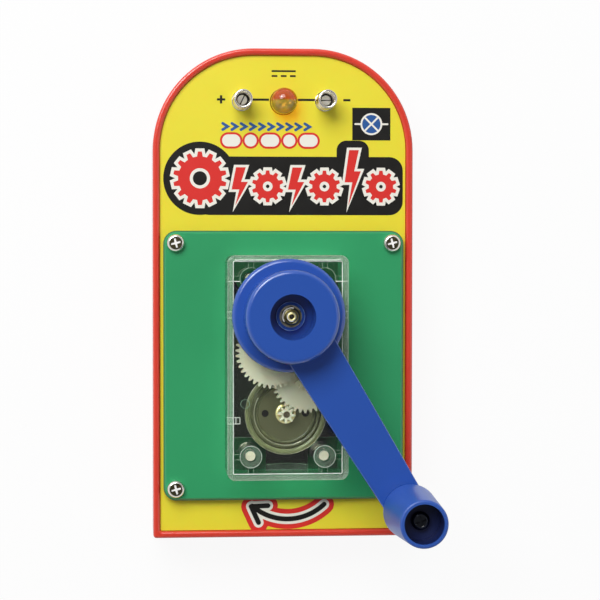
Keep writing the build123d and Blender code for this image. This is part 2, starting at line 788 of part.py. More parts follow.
# ---- crank ------------------------------------------------------------------------------
def crank_arm():
    hub = rod(crank_axis, crank_back, flange_z, flange_radius)
    hub = fillet(hub.edges().group_by(Axis.Z)[-1], hub_round)
    drum = rod(crank_axis, crank_back, drum_z, drum_radius)
    drum = fillet(drum.edges().group_by(Axis.Z)[-1], hub_round)
    half_root, half_tip = arm_root_width / 2, arm_tip_width / 2
    bar = make_face(Polyline((0, half_root), (crank_radius, half_tip), (crank_radius, -half_tip),
                             (0, -half_root), close=True))
    bar += Pos(crank_radius, 0) * Circle(half_tip)
    arm = plate(Pos(*crank_axis) * (Rot(0, 0, crank_rest_angle) * bar), flange_z, arm_z)
    arm = fillet(arm.edges().group_by(Axis.Z)[-1], edge_round)
    crank = hub + drum + arm
    crank += rod(knob_axis, flange_z - knob_boss_height, arm_z, knob_boss_radius)
    ring = Circle(drum_radius - hub_wall) - Circle(hub_recess_radius + hub_wall)
    crank -= plate(Pos(*crank_axis) * ring, crank_back - past, drum_z - hub_wall)
    recess = Circle(hub_recess_radius)
    crank -= plate(Pos(*crank_axis) * recess, recess_z, drum_z + past)
    crank += rod(crank_axis, crank_back, hub_boss_z, hub_boss_radius)
    crank -= rod(crank_axis, 0, drum_z + past, crank_shaft_radius + thread_fit)
    return crank - rod(knob_axis, 0, arm_z + past, knob_screw_radius + thread_fit)


def crank_shaft():
    shaft = rod(crank_axis, crank_gear_z - shoulder_below_gear, shaft_end_z, crank_shaft_radius)
    shaft = chamfer(shaft.edges().group_by(Axis.Z)[-1], shaft_chamfer)
    shaft += rod(crank_axis, floor_z + post_floor + pivot_end_gap, crank_gear_z, crank_pivot_radius)
    return shaft - rod(crank_axis, shaft_end_z - shaft_dimple_depth, shaft_end_z + past, shaft_dimple_radius)


def crank_washer():
    return tube(crank_axis, hub_boss_z, nut_z, washer_radius, crank_shaft_radius + thread_fit)


def bevelled_nut(place, low, height, bore, turn=90):
    corner = nut_width / sqrt(3)
    nut = hexagon(place, low, low + height, nut_width, turn)
    nut &= taper(place, low, low + height, corner + nut_bevel_slope * height, corner - nut_bevel)
    return nut - rod(place, low - past, low + height + past, bore)


def crank_nut():
    return bevelled_nut(crank_axis, nut_z, nut_height, crank_shaft_radius + thread_fit)


def knob_screw():
    seat = knob_floor_z + knob_screw_seat_gap
    length = seat - (flange_z - knob_boss_height)
    head = (knob_screw_head_radius, knob_screw_head_height)
    return pan_screw(knob_axis, seat, knob_screw_radius, length, *head)


def crank_knob():
    knob = taper(knob_axis, knob_z, knob_end_z, knob_base_radius, knob_tip_radius)
    knob = fillet(knob.edges().group_by(Axis.Z)[-1], knob_tip_round)
    knob = fillet(knob.edges().group_by(Axis.Z)[0], knob_base_round)
    knob -= rod(knob_axis, knob_floor_z, knob_end_z + past, knob_recess_radius)
    web_under = knob_floor_z - knob_web
    hollow_radius = knob_base_radius - knob_wall
    hollow = taper(knob_axis, knob_z - thread_fit, web_under, hollow_radius, hollow_radius - knob_inner_taper)
    hollow -= rod(knob_axis, knob_z - past, web_under + past, knob_sleeve_radius)
    knob -= hollow
    return knob - rod(knob_axis, knob_z - past, knob_end_z + past, knob_screw_radius + running_fit)


# ---- lamp -------------------------------------------------------------------------------
def lamp_lens():
    lens = rod(lamp_at, lamp_low, deck_under, lamp_flange_radius)
    lens += rod(lamp_at, deck_under, lamp_top, lamp_radius)
    dome = Pos(lamp_at[0], lamp_at[1], lamp_top) * Sphere(lamp_radius)
    dome -= rod(lamp_at, lamp_top - 2 * lamp_radius, lamp_top, 2 * lamp_radius)
    return lens + dome


def bent_lead(points, bend):
    path = FilletPolyline(*points, radius=bend)
    start = Plane(origin=path @ 0, z_dir=path % 0)
    return sweep(start * Rectangle(lead_width, lead_width), path=path)


def lamp_leads():
    x, y = lead_spacing / 2, lamp_at[1]
    half = lead_width / 2
    short = block((-x - half, -x + half), (y - half, y + half), (solder_z - lead_width, lamp_low))
    long_lead = bent_lead([(x, y, lamp_low), (x, y, solder_z), (lead_end_x, y, solder_z),
                           (lead_end_x, y, lug_z)], lead_bend)
    return [short, long_lead]


def lamp_resistor():
    start, y = -lead_spacing / 2 - lead_width / 2, lamp_at[1]
    wire = bent_lead([(start, y, solder_z), (-lead_end_x, y, solder_z), (-lead_end_x, y, lug_z)], lead_bend)
    middle = (start - lead_end_x + lead_bend) / 2
    body = Pos(middle, y, solder_z) * (Rot(0, 90, 0) * Cylinder(resistor_radius, resistor_length))
    return wire + body


# ---- spring terminals -------------------------------------------------------------------
def coil_point(angle):
    return Vector(coil_radius * cos(angle), coil_radius * sin(angle),
                  spring_low + spring_pitch * angle / (2 * pi))


def coil_direction(angle):
    return Vector(-coil_radius * sin(angle), coil_radius * cos(angle), spring_pitch / (2 * pi)).normalized()


def arc_pair(start, start_way, end, end_way):
    # two arcs that meet smoothly, each tangent to the line at its own end
    across, ways = end - start, start_way + end_way
    spare = 2 * (1 - start_way.dot(end_way))
    reach = (sqrt(across.dot(ways) ** 2 + spare * across.dot(across)) - across.dot(ways)) / spare
    meet = (start + start_way * reach + end - end_way * reach) * 0.5
    meet_way = (end - end_way * reach - start - start_way * reach).normalized()
    first = Edge.make_tangent_arc(start, start_way, meet)
    return [first, Edge.make_tangent_arc(meet, meet_way, end)]


def coil_path():
    quarter = pi / 2
    edges = []
    for number in range(round(spring_turns * 4)):
        low, high = number * quarter, (number + 1) * quarter
        edges += arc_pair(coil_point(low), coil_direction(low), coil_point(high), coil_direction(high))
    return Wire(edges)


def least_gap(path, steps_per_turn=48):
    # distance between points of the wire at least half a turn apart, less one wire
    count = int(spring_turns * steps_per_turn)
    points = [path @ (number / count) for number in range(count + 1)]
    far = steps_per_turn // 2
    nearest = min((points[i] - points[j]).length
                  for i in range(len(points)) for j in range(i + far, len(points)))
    return nearest - spring_wire


def terminal_spring(place):
    path = coil_path()
    start = Plane(origin=path @ 0, z_dir=path % 0)
    return Pos(place[0], place[1], 0) * sweep(start * Circle(spring_wire / 2), path=path)


def terminal_stud(place):
    top = face_z + stud_flange_height
    stud = rod(place, face_z, top, stud_flange_radius)
    collar = rod(place, face_z, top + stud_collar_height, collar_radius)
    stud += fillet(collar.edges().group_by(Axis.Z)[-1], stud_collar_round)
    stud += rod(place, stud_end, face_z, stud_radius)
    collar_top, half = top + stud_collar_height, stud_slot / 2
    slot = block((place[0] - stud_flange_radius, place[0] + stud_flange_radius),
                 (place[1] - half, place[1] + half), (collar_top - stud_slot_depth, collar_top + past))
    return stud - slot


def terminal_lug(place):
    lug = rod(place, lug_z, deck_under, lug_ring_radius)
    inward = 1 if place[0] < 0 else -1
    reach = lug_ring_radius + lug_tail_length
    half = lug_tail_width / 2
    lug += block(sorted((place[0], place[0] + inward * reach)), (place[1] - half, place[1] + half),
                 (lug_z, deck_under))
    lug += block((place[0] - half, place[0] + half), (place[1] - reach, place[1]), (lug_z, deck_under))
    return lug - rod(place, 0, face_z, stud_radius + thread_fit)


def terminal_nut(place):
    nut_bore = stud_radius + thread_fit
    return bevelled_nut((place[0], place[1]), lug_z - stud_nut_height, stud_nut_height, nut_bore)


# ---- leads from the motor to the terminals ----------------------------------------------
def lead_route(side):
    # shares of the way from the motor's tab to the lug, with steps aside and up
    lie = back_thickness + lead_radius + lead_lie
    tab_x, tab_y = side * terminal_spacing / 2, motor_axis[1] + solder_overlap
    tab_z = motor_back - terminal_length / 2
    end_x, end_y = side * terminal_x, terminals_at[0][1] - lug_ring_radius - lug_tail_length / 2
    way_x, way_y = end_x - tab_x, end_y - tab_y
    rise = lug_z - lie
    return [(tab_x, tab_y, tab_z),
            (tab_x, tab_y + 0.10 * way_y, tab_z - 0.04 * rise),
            (tab_x + 0.23 * way_x, tab_y + 0.19 * way_y, lie + 0.04 * rise),
            (tab_x + 0.64 * way_x, tab_y + 0.34 * way_y, lie),
            (tab_x + 1.51 * way_x, tab_y + 0.51 * way_y, lie),
            (tab_x + 1.77 * way_x, tab_y + 0.69 * way_y, lie),
            (tab_x + 1.62 * way_x, tab_y + 0.84 * way_y, lie),
            (end_x + 0.17 * way_x, end_y - 0.06 * way_y, lie + 0.10 * rise),
            (end_x, end_y, lie + 0.44 * rise),
            (end_x, end_y, lug_z)]


def route_radii(points):
    radii = []
    for before, here, after in zip(points, points[1:], points[2:]):
        a, b = Vector(*here) - Vector(*before), Vector(*after) - Vector(*here)
        turn = radians(a.get_angle(b))
        radii.append(0.45 * min(a.length, b.length) / tan(turn / 2))
    return radii


def motor_lead(name, side):
    points = lead_route(side)
    radii = route_radii(points)
    path = FilletPolyline(*points, radius=radii)
    start = Plane(origin=path @ 0, z_dir=path % 0)
    lead = sweep(start * Circle(lead_radius), path=path)
    share = lead.volume / (pi * lead_radius ** 2 * path.length)
    print(name, "bend radii", [round(r, 1) for r in radii], "volume over section x length", round(share, 4))
    return lead


# ---- every node -------------------------------------------------------------------------
def make_nodes():
    motor_front = motor_face + motor_boss_height
    return {
        "base_tray": base_tray(),
        "back_cover": back_cover(),
        "back_cover_screws": group([back_cover_screw(place) for place in back_screws_at]),
        "face_card": face_card(),
        "green_plate": green_plate(),
        "plate_screws": group([pan_screw(place, plate_z, plate_screw_radius, plate_screw_length,
                                         plate_screw_head_radius, plate_screw_head_height)
                               for place in plate_screws_at]),
        "gearbox_base": gearbox_base(),
        "gearbox_cover": gearbox_cover(),
        "gearbox_screws": group([pan_screw_from_below(place, face_z, gearbox_screw_radius,
                                                      gearbox_screw_length, gearbox_screw_head_radius,
                                                      gearbox_screw_head_height)
                                 for place in bosses_at]),
        "gear_axle_a": gear_axle(axis_a, plate_z + post_floor),
        "gear_axle_b": gear_axle(axis_b, motor_face + axle_b_floor),
        "idler_gear_a": idler_gear_a(),
        "idler_gear_b": idler_gear_b(),
        "motor_can": motor_can(),
        "motor_end_cap": motor_end_cap(),
        "motor_magnets": group([motor_magnet(0), motor_magnet(180)]),
        "motor_bearings": group([motor_bearing(motor_face - bearing_depth, motor_front),
                                 motor_bearing(motor_back - bearing_stand_out, cap_top)]),
        "motor_terminals": group([motor_terminal(-1), motor_terminal(1)]),
        "motor_brushes": group([motor_brush(-1), motor_brush(1)]),
        "motor_shaft": motor_shaft(),
        "motor_pinion": motor_pinion(),
        "armature_core": armature_core(),
        "armature_windings": group([armature_winding(number) for number in range(3)]),
        "commutator": commutator(),
        "crank_arm": crank_arm(),
        "crank_shaft": crank_shaft(),
        "crank_gear": crank_gear(),
        "crank_washer": crank_washer(),
        "crank_nut": crank_nut(),
        "knob_screw": knob_screw(),
        "crank_knob": crank_knob(),
        "lamp_lens": lamp_lens(),
        "lamp_leads": group(lamp_leads()),
        "lamp_resistor": lamp_resistor(),
        "spring_plus": terminal_spring(terminals_at[0]),
        "spring_minus": terminal_spring(terminals_at[1]),
        "terminal_studs": group([terminal_stud(place) for place in terminals_at]),
        "terminal_lugs": group([terminal_lug(place) for place in terminals_at]),
        "terminal_nuts": group([terminal_nut(place) for place in terminals_at]),
        "lead_red": motor_lead("lead_red", -1),
        "lead_black": motor_lead("lead_black", 1),
    }


def main():
    os.makedirs("parts", exist_ok=True)
    print("gear axes", crank_axis, axis_a, axis_b, motor_axis, "knob", knob_axis)
    print("spring least gap", round(least_gap(coil_path()), 3))
    for name, piece in make_nodes().items():
        export_step(piece, os.path.join("parts", name + ".step"))


main()
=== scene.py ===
import json
import math

import bmesh
import bpy
from mathutils import Euler, Matrix, Vector


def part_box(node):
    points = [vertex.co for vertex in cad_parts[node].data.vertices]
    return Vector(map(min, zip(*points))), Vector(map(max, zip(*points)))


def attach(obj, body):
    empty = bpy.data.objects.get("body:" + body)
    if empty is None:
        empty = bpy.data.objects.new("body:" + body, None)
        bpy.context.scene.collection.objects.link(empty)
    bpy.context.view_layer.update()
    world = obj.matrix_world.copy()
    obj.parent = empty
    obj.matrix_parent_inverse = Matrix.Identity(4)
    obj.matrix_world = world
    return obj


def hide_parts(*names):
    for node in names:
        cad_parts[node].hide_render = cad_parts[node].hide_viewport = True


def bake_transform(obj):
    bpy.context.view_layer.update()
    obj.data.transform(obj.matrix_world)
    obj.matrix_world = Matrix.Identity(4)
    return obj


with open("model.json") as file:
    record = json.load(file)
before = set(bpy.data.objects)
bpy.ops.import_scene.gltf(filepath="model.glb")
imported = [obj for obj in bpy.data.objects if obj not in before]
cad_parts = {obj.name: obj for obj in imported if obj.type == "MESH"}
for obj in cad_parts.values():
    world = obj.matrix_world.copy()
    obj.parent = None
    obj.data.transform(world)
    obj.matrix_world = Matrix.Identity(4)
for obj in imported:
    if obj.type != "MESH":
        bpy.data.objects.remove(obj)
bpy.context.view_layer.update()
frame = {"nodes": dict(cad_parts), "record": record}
nodes = frame["nodes"]
mm = 0.001
print("frame loaded:", len(nodes), "nodes")


# ---- small helpers for node trees ----
def addNode(tree, kind, inputs=None, **settings):
    made = tree.nodes.new("ShaderNode" + kind)
    for name, value in settings.items():
        setattr(made, name, value)
    for name, value in (inputs or {}).items():
        feed(tree, made.inputs[name], value)
    return made


def feed(tree, socket, value):
    if isinstance(value, bpy.types.NodeSocket):
        tree.links.new(value, socket)
    else:
        socket.default_value = value


def calc(tree, operation, *values):
    made = addNode(tree, "Math", operation=operation)
    for socket, value in zip(made.inputs, values):
        feed(tree, socket, value)
    return made.outputs[0]


def startGroup(name, inputs, *outputs):
    tree = bpy.data.node_groups.new(name, "ShaderNodeTree")
    for label, value in inputs.items():
        kind = {3: "Vector", 4: "Color"}[len(value)] if isinstance(value, tuple) else "Float"
        socket = tree.interface.new_socket(name=label, in_out="INPUT", socket_type="NodeSocket" + kind)
        socket.default_value = value
    for label in outputs:
        kind = "Color" if label == "Color" else "Float"
        tree.interface.new_socket(name=label, in_out="OUTPUT", socket_type="NodeSocket" + kind)
    return tree, tree.nodes.new("NodeGroupInput").outputs, tree.nodes.new("NodeGroupOutput").inputs


def useGroup(tree, name, inputs):
    made = tree.nodes.new("ShaderNodeGroup")
    made.node_tree = bpy.data.node_groups[name]
    for label, value in inputs.items():
        feed(tree, made.inputs[label], value)
    return made.outputs


def objectPlace(tree):
    return addNode(tree, "TexCoord").outputs["Object"]


def vectorStep(tree, operation, first, second, output=0):
    return addNode(tree, "VectorMath", {0: first, 1: second}, operation=operation).outputs[output]


def axisDistance(tree, place, centre):  # from an upright axis
    flat = vectorStep(tree, "MULTIPLY", vectorStep(tree, "SUBTRACT", place, centre), (1, 1, 0))
    return addNode(tree, "VectorMath", {0: flat}, operation="LENGTH").outputs["Value"]


# ---- effects shared by the materials ----
def buildSkin():  # fine relief of a moulded face, and the slow cloudiness along it
    tree, given, wanted = startGroup("mouldSkin", {"Grain": 2500.0, "Flow": 60.0}, "Height", "Cloud")
    place = objectPlace(tree)
    for label, scale, detail in (("Height", "Grain", 3.0), ("Cloud", "Flow", 4.0)):
        noise = addNode(tree, "TexNoise", {"Vector": place, "Scale": given[scale], "Detail": detail})
        feed(tree, wanted[label], noise.outputs["Fac"])


def buildDrift():  # a colour that wanders a little lighter and darker
    tree, given, wanted = startGroup(
        "toneDrift", {"Tone": (0.5, 0.5, 0.5, 1), "Mask": 0.5, "Depth": 0.1}, "Color")
    off = calc(tree, "SUBTRACT", given["Mask"], 0.5)
    value = calc(tree, "MULTIPLY_ADD", off, given["Depth"], 1.0)
    feed(tree, wanted["Color"], addNode(
        tree, "HueSaturation", {"Color": given["Tone"], "Value": value}).outputs[0])


def buildRings():  # tool marks round an upright axis
    tree, given, wanted = startGroup("turnedRings", {"Centre": (0, 0, 0), "Spacing": 0.0002}, "Height")
    place = objectPlace(tree)
    length = axisDistance(tree, place, given["Centre"])
    turns = calc(tree, "MULTIPLY", calc(tree, "DIVIDE", length, given["Spacing"]), math.tau)
    uneven = addNode(tree, "TexNoise", {"Vector": place, "Scale": 700.0}).outputs["Fac"]
    feed(tree, wanted["Height"], calc(tree, "MULTIPLY", calc(tree, "SINE", turns), uneven))


def buildMark():  # a shallow round witness line, as an ejector pin or a gate leaves
    tree, given, wanted = startGroup(
        "roundMark", {"Centre": (0, 0, 0), "Radius": 0.003, "Width": 0.0002}, "Mask")
    length = axisDistance(tree, objectPlace(tree), given["Centre"])
    off = calc(tree, "ABSOLUTE", calc(tree, "SUBTRACT", length, given["Radius"]))
    near = calc(tree, "SUBTRACT", 1.0, calc(tree, "DIVIDE", off, given["Width"]))
    feed(tree, wanted["Mask"], calc(tree, "MAXIMUM", near, 0.0))


def buildSpecks():  # a few grains of dust
    tree, given, wanted = startGroup("dustSpecks", {"Spread": 250.0, "Size": 0.03}, "Mask")
    cells = addNode(tree, "TexVoronoi", {"Vector": objectPlace(tree), "Scale": given["Spread"]})
    feed(tree, wanted["Mask"], calc(tree, "LESS_THAN", cells.outputs["Distance"], given["Size"]))


def buildDrawn():  # fine lines along the way a wire or a strip was drawn
    tree, given, wanted = startGroup("drawnLines", {"Stretch": (1, 1, 0.05), "Scale": 9000.0}, "Height")
    pulled = vectorStep(tree, "MULTIPLY", objectPlace(tree), given["Stretch"])
    lines = addNode(tree, "TexNoise", {"Vector": pulled, "Scale": given["Scale"], "Detail": 2.0})
    feed(tree, wanted["Height"], lines.outputs["Fac"])


def buildSpan():  # rises from 0 to 1 between two distances along a direction
    tree, given, wanted = startGroup("spanMask", {"Along": (0, 0, 1), "From": 0.0, "To": 0.01}, "Mask")
    along = vectorStep(tree, "DOT_PRODUCT", objectPlace(tree), given["Along"], "Value")
    feed(tree, wanted["Mask"], addNode(tree, "MapRange", {
        "Value": along, "From Min": given["From"], "From Max": given["To"]},
        interpolation_type="SMOOTHSTEP").outputs[0])


def buildHollowShade():  # 1 inside a round hollow about an upright axis, below its mouth: marks where shade is painted
    tree, given, wanted = startGroup(
        "hollowMask", {"Centre": (0, 0, 0), "Radius": 0.005, "Mouth": 0.01}, "Mask")
    steepness = 1200.0  # per metre of depth below the mouth
    place = objectPlace(tree)
    inside = calc(tree, "LESS_THAN", axisDistance(tree, place, given["Centre"]), given["Radius"])
    height = addNode(tree, "SeparateXYZ", {0: place}).outputs["Z"]
    sunk = calc(tree, "MULTIPLY", calc(tree, "SUBTRACT", given["Mouth"], height), steepness)
    sunk = calc(tree, "MINIMUM", calc(tree, "MAXIMUM", sunk, 0.0), 1.0)
    feed(tree, wanted["Mask"], calc(tree, "MULTIPLY", inside, sunk))


for build in (buildSkin, buildDrift, buildRings, buildMark, buildSpecks, buildDrawn, buildSpan, buildHollowShade):
    build()
print("shared effects built")


# ---- materials ----
plainSkin = {"drift": 0.2, "grain": 3000.0, "flow": 500.0, "gloss": 0.25, "glossDrift": 0.1, "relief": 0.08}
plasticLook = {**plainSkin, "depth": 0.05, "bend": 1.5, "coat": 0.0, "coatGloss": 0.08, "glow": 0.0,
               "glowScale": 0.6, "veil": 1.0, "markWidth": 0.35, "dustSpread": 220.0, "dustDull": 0.4}
metalLook = {**plainSkin, "depth": 0.02, "metal": 1.0}
clearLook = {**plainSkin, "depth": 0.05, "bend": 1.5, "clearness": 1.0}
inkLook = {"grain": 6000.0, "flow": 300.0, "drift": 0.12, "glossDrift": 0.15, "relief": 0.08, "depth": 0.02,
           "shine": 0.35}


def startMaterial(name):
    material = bpy.data.materials.new(name)
    material.use_nodes = True
    return material, material.node_tree, material.node_tree.nodes["Principled BSDF"].inputs


def startSurface(name, look, mask="Cloud"):  # what the plastics, the metals and the inks share
    material, tree, shader = startMaterial(name)
    skin = useGroup(tree, "mouldSkin", {"Grain": look["grain"], "Flow": look["flow"]})
    tone = useGroup(tree, "toneDrift", {
        "Tone": (*look["tone"], 1), "Mask": skin[mask], "Depth": look["drift"]})
    spread = look["glossDrift"]
    rough = calc(tree, "MULTIPLY_ADD", skin["Cloud"], spread, look["gloss"] - spread / 2)
    return material, tree, shader, skin, tone["Color"], rough


def finishSurface(tree, shader, colour, rough, height, look):
    feed(tree, shader["Base Color"], colour)
    feed(tree, shader["Roughness"], rough)
    bump = addNode(tree, "Bump", {
        "Height": height, "Strength": look["relief"], "Distance": look["depth"] * mm})
    feed(tree, shader["Normal"], bump.outputs[0])


def mixColours(tree, share, first, second):
    return addNode(tree, "Mix", {0: share, 6: first, 7: (*second, 1)}, data_type="RGBA").outputs[2]


def hollowShare(tree, x, y, radius, mouth):
    return useGroup(tree, "hollowMask", {
        "Centre": (x * mm, y * mm, 0), "Radius": radius * mm, "Mouth": mouth})["Mask"]


def spanShare(tree, low, high, along=(0, 0, 1)):
    return useGroup(tree, "spanMask", {"Along": along, "From": low * mm, "To": high * mm})["Mask"]


def mouldedPlastic(name, look):
    look = {**plasticLook, **look}
    material, tree, shader, skin, colour, rough = startSurface(name, look)
    if "deepShade" in look:  # (height, height, tone): what lies low is painted darker, as painted shade
        low, high, shadeTone = look["deepShade"]
        colour = mixColours(tree, spanShare(tree, high, low), colour, shadeTone)
    if "hollow" in look:  # (x, y, radius, mouth, tone): a hollow's inside painted darker, as painted shade
        x, y, radius, mouth, shadeTone = look["hollow"]
        colour = mixColours(tree, hollowShare(tree, x, y, radius, mouth * mm), colour, shadeTone)
    height = skin["Height"]
    for x, y, radius in look.get("marks", ()):
        mark = useGroup(tree, "roundMark", {
            "Centre": (x * mm, y * mm, 0), "Radius": radius * mm, "Width": look["markWidth"] * mm})
        height = calc(tree, "MULTIPLY_ADD", mark["Mask"], look["markDepth"], height)
    if "dust" in look:
        dust = useGroup(tree, "dustSpecks", {"Spread": look["dustSpread"], "Size": look["dust"]})
        rough = calc(tree, "MULTIPLY_ADD", dust["Mask"], look["dustDull"], rough)
    finishSurface(tree, shader, colour, rough, height, look)
    for label, key in (("IOR", "bend"), ("Coat Weight", "coat"), ("Coat Roughness", "coatGloss"),
                       ("Subsurface Weight", "glow"), ("Alpha", "veil")):
        shader[label].default_value = look[key]
    if "reach" in look:
        shader["Subsurface Radius"].default_value = look["reach"]
    shader["Subsurface Scale"].default_value = look["glowScale"] * mm
    return material


def metalSurface(name, look):
    look = {**metalLook, **look}
    material, tree, shader, skin, colour, rough = startSurface(name, look)
    if "face" in look:  # (x, y, radius, tone) of a round face painted darker, as painted shade
        x, y, radius, faceShade = look["face"]
        colour = mixColours(tree, hollowShare(tree, x, y, radius, 1.0), colour, faceShade)
    height = skin["Height"]
    if "rings" in look:
        rings = useGroup(tree, "turnedRings", {"Centre": look["centre"], "Spacing": look["rings"] * mm})
        height = calc(tree, "MULTIPLY_ADD", rings["Height"], look["ringDepth"], height)
    if "stretch" in look:
        lines = useGroup(tree, "drawnLines", {"Stretch": look["stretch"]})
        height = calc(tree, "ADD", lines["Height"], height)
    finishSurface(tree, shader, colour, rough, height, look)
    shader["Metallic"].default_value = look["metal"]
    return material


def clearPlastic(name, look):
    look = {**clearLook, **look}
    material, tree, shader, skin, colour, rough = startSurface(name, look)
    if "reflectedHalf" in look:  # (y, y, tone) of the half that lies up the board, coloured red as a painted reflection inside the lens
        low, high, upper = look["reflectedHalf"]
        colour = mixColours(tree, spanShare(tree, low, high, (0, 1, 0)), colour, upper)
    for along, start, end in look.get("walls", ()):  # long way through a wall, so it looks frosted
        rough = calc(tree, "MULTIPLY_ADD", spanShare(tree, start, end, along), look["frost"], rough)
    finishSurface(tree, shader, colour, rough, skin["Cloud"], look)
    shader["Transmission Weight"].default_value = look["clearness"]
    shader["IOR"].default_value = look["bend"]
    through = addNode(tree, "BsdfTransparent", {"Color": (*look["shade"], 1)})
    path = addNode(tree, "LightPath")
    mixed = addNode(tree, "MixShader", {
        0: path.outputs["Is Shadow Ray"], 1: tree.nodes["Principled BSDF"].outputs[0], 2: through.outputs[0]})
    tree.links.new(mixed.outputs[0], tree.nodes["Material Output"].inputs["Surface"])
    return material


def printedInk(name, tone, gloss):
    look = {**inkLook, "tone": tone, "gloss": gloss}
    material, tree, shader, skin, colour, rough = startSurface(name, look, "Height")
    finishSurface(tree, shader, colour, rough, skin["Height"], look)
    shader["Specular IOR Level"].default_value = look["shine"]
    return material


bossAt = (0, -36.2032 * mm, 0)  # the motor's axis
finishes = {
    "red_plastic": mouldedPlastic("redCase", {
        "tone": (0.73, 0.05, 0.028), "drift": 0.1, "grain": 2600.0, "flow": 45.0, "gloss": 0.24,
        "glossDrift": 0.12, "relief": 0.05, "coat": 0.25,
        "marks": ((-30, 60, 2.5), (30, 60, 2.5), (0, -66, 2.5)), "markDepth": 0.5}),
    "green_plastic": mouldedPlastic("greenPlate", {
        "tone": (0.028, 0.335, 0.125), "drift": 0.14, "grain": 2200.0, "flow": 28.0, "gloss": 0.34,
        "glossDrift": 0.12, "relief": 0.07, "dust": 0.012, "markDepth": 1.6,
        # painted shade: the well below the plate's face is coloured near black
        "deepShade": (17.9, 18.9, (0.014, 0.034, 0.017)),
        "marks": ((-20.8, 13.4, 3.0), (20.8, 13.4, 3.0), (-20.2, -54.7, 3.0), (20.2, -54.7, 3.0))}),
    "blue_plastic": mouldedPlastic("blueCrank", {
        "tone": (0.022, 0.088, 0.42), "drift": 0.1, "grain": 2400.0, "flow": 40.0, "gloss": 0.2,
        "glossDrift": 0.08, "relief": 0.04, "coat": 0.4}),
    "white_nylon": mouldedPlastic("ivoryGears", {
        "tone": (0.67, 0.66, 0.485), "drift": 0.07, "flow": 90.0, "gloss": 0.42, "glossDrift": 0.14,
        "glow": 0.25}),
    "resistor_body": mouldedPlastic("lacquerBody", {
        "tone": (0.55, 0.4, 0.22), "grain": 3500.0, "flow": 300.0, "gloss": 0.4, "relief": 0.1}),
    "red_insulation": mouldedPlastic("redSleeve", {
        "tone": (0.55, 0.02, 0.015), "drift": 0.1, "grain": 2500.0, "flow": 120.0, "gloss": 0.45,
        "glossDrift": 0.12}),
    "black_insulation": mouldedPlastic("blackSleeve", {
        "tone": (0.012, 0.012, 0.013), "grain": 2500.0, "flow": 120.0, "gloss": 0.42, "glossDrift": 0.12}),
    "yellow_card": mouldedPlastic("yellowCard", {
        "tone": (0.872, 0.748, 0.036), "drift": 0.05, "grain": 5200.0, "flow": 35.0, "gloss": 0.38,
        "glossDrift": 0.08, "relief": 0.06, "glow": 0.3, "reach": (1.0, 0.45, 0.1)}),
    "magnet": mouldedPlastic("ferriteArcs", {
        "tone": (0.035, 0.034, 0.036), "drift": 0.3, "grain": 4200.0, "gloss": 0.6, "glossDrift": 0.15,
        "relief": 0.3}),
    "motor_steel": metalSurface("zincCan", {
        "tone": (0.34, 0.345, 0.19), "drift": 0.16, "grain": 2600.0, "flow": 120.0, "gloss": 0.4,
        # painted shade: the can's face inside radius 8.25 is coloured darker than its shoulder
        "face": (0, -36.2, 8.25, (0.25, 0.255, 0.14)), "glossDrift": 0.12, "relief": 0.1,
        "centre": bossAt, "rings": 0.22, "ringDepth": 0.25}),
    "screw_steel": metalSurface("plateScrews", {
        "tone": (0.74, 0.72, 0.67), "flow": 400.0, "gloss": 0.22, "glossDrift": 0.12}),
    "shaft_steel": metalSurface("groundSteel", {
        "tone": (0.5, 0.47, 0.42), "drift": 0.15, "grain": 2600.0, "flow": 300.0, "gloss": 0.28,
        "relief": 0.1, "stretch": (1, 1, 6)}),
    "spring_plate": metalSurface("springPlating", {
        "tone": (0.82, 0.79, 0.73), "drift": 0.12, "grain": 2600.0, "flow": 350.0, "gloss": 0.13,
        "glossDrift": 0.06, "relief": 0.04}),
    "brass": metalSurface("brassNut", {
        "tone": (0.72, 0.56, 0.26), "drift": 0.18, "grain": 2800.0, "flow": 350.0, "gloss": 0.24,
        "glossDrift": 0.12, "relief": 0.07}),
    "bronze": metalSurface("sinteredBush", {
        "tone": (0.62, 0.5, 0.2), "grain": 5200.0, "gloss": 0.4, "glossDrift": 0.12, "relief": 0.2}),
    "copper": metalSurface("enamelWire", {
        "tone": (0.72, 0.28, 0.12), "gloss": 0.3, "stretch": (1, 1, 6)}),
    "tinned_wire": metalSurface("tinnedWire", {
        "tone": (0.66, 0.66, 0.64), "flow": 400.0, "gloss": 0.35, "relief": 0.1}),
    "clear_plastic": clearPlastic("clearGearbox", {
        "tone": (0.975, 0.99, 0.972), "drift": 0.01, "grain": 2000.0, "flow": 70.0, "gloss": 0.04,
        "glossDrift": 0.04, "relief": 0.1, "shade": (0.84, 0.86, 0.83), "frost": 0.22,
        "walls": (((1, 0, 0), 16.3, 16.7), ((-1, 0, 0), 16.3, 16.7),
                  ((0, 1, 0), 10.0, 10.4), ((0, -1, 0), 53.5, 53.9))}),
    "amber_lens": clearPlastic("amberLamp", {
        "tone": (0.56, 0.43, 0.05), "drift": 0.9, "grain": 2000.0, "flow": 520.0, "gloss": 0.03,
        "glossDrift": 0.03, "relief": 0.05, "shade": (0.98, 0.62, 0.12), "clearness": 0.5,
        # painted reflection: the lens's upper half is coloured deep red
        "reflectedHalf": (58.4, 59.3, (0.5, 0.062, 0.012))}),
}
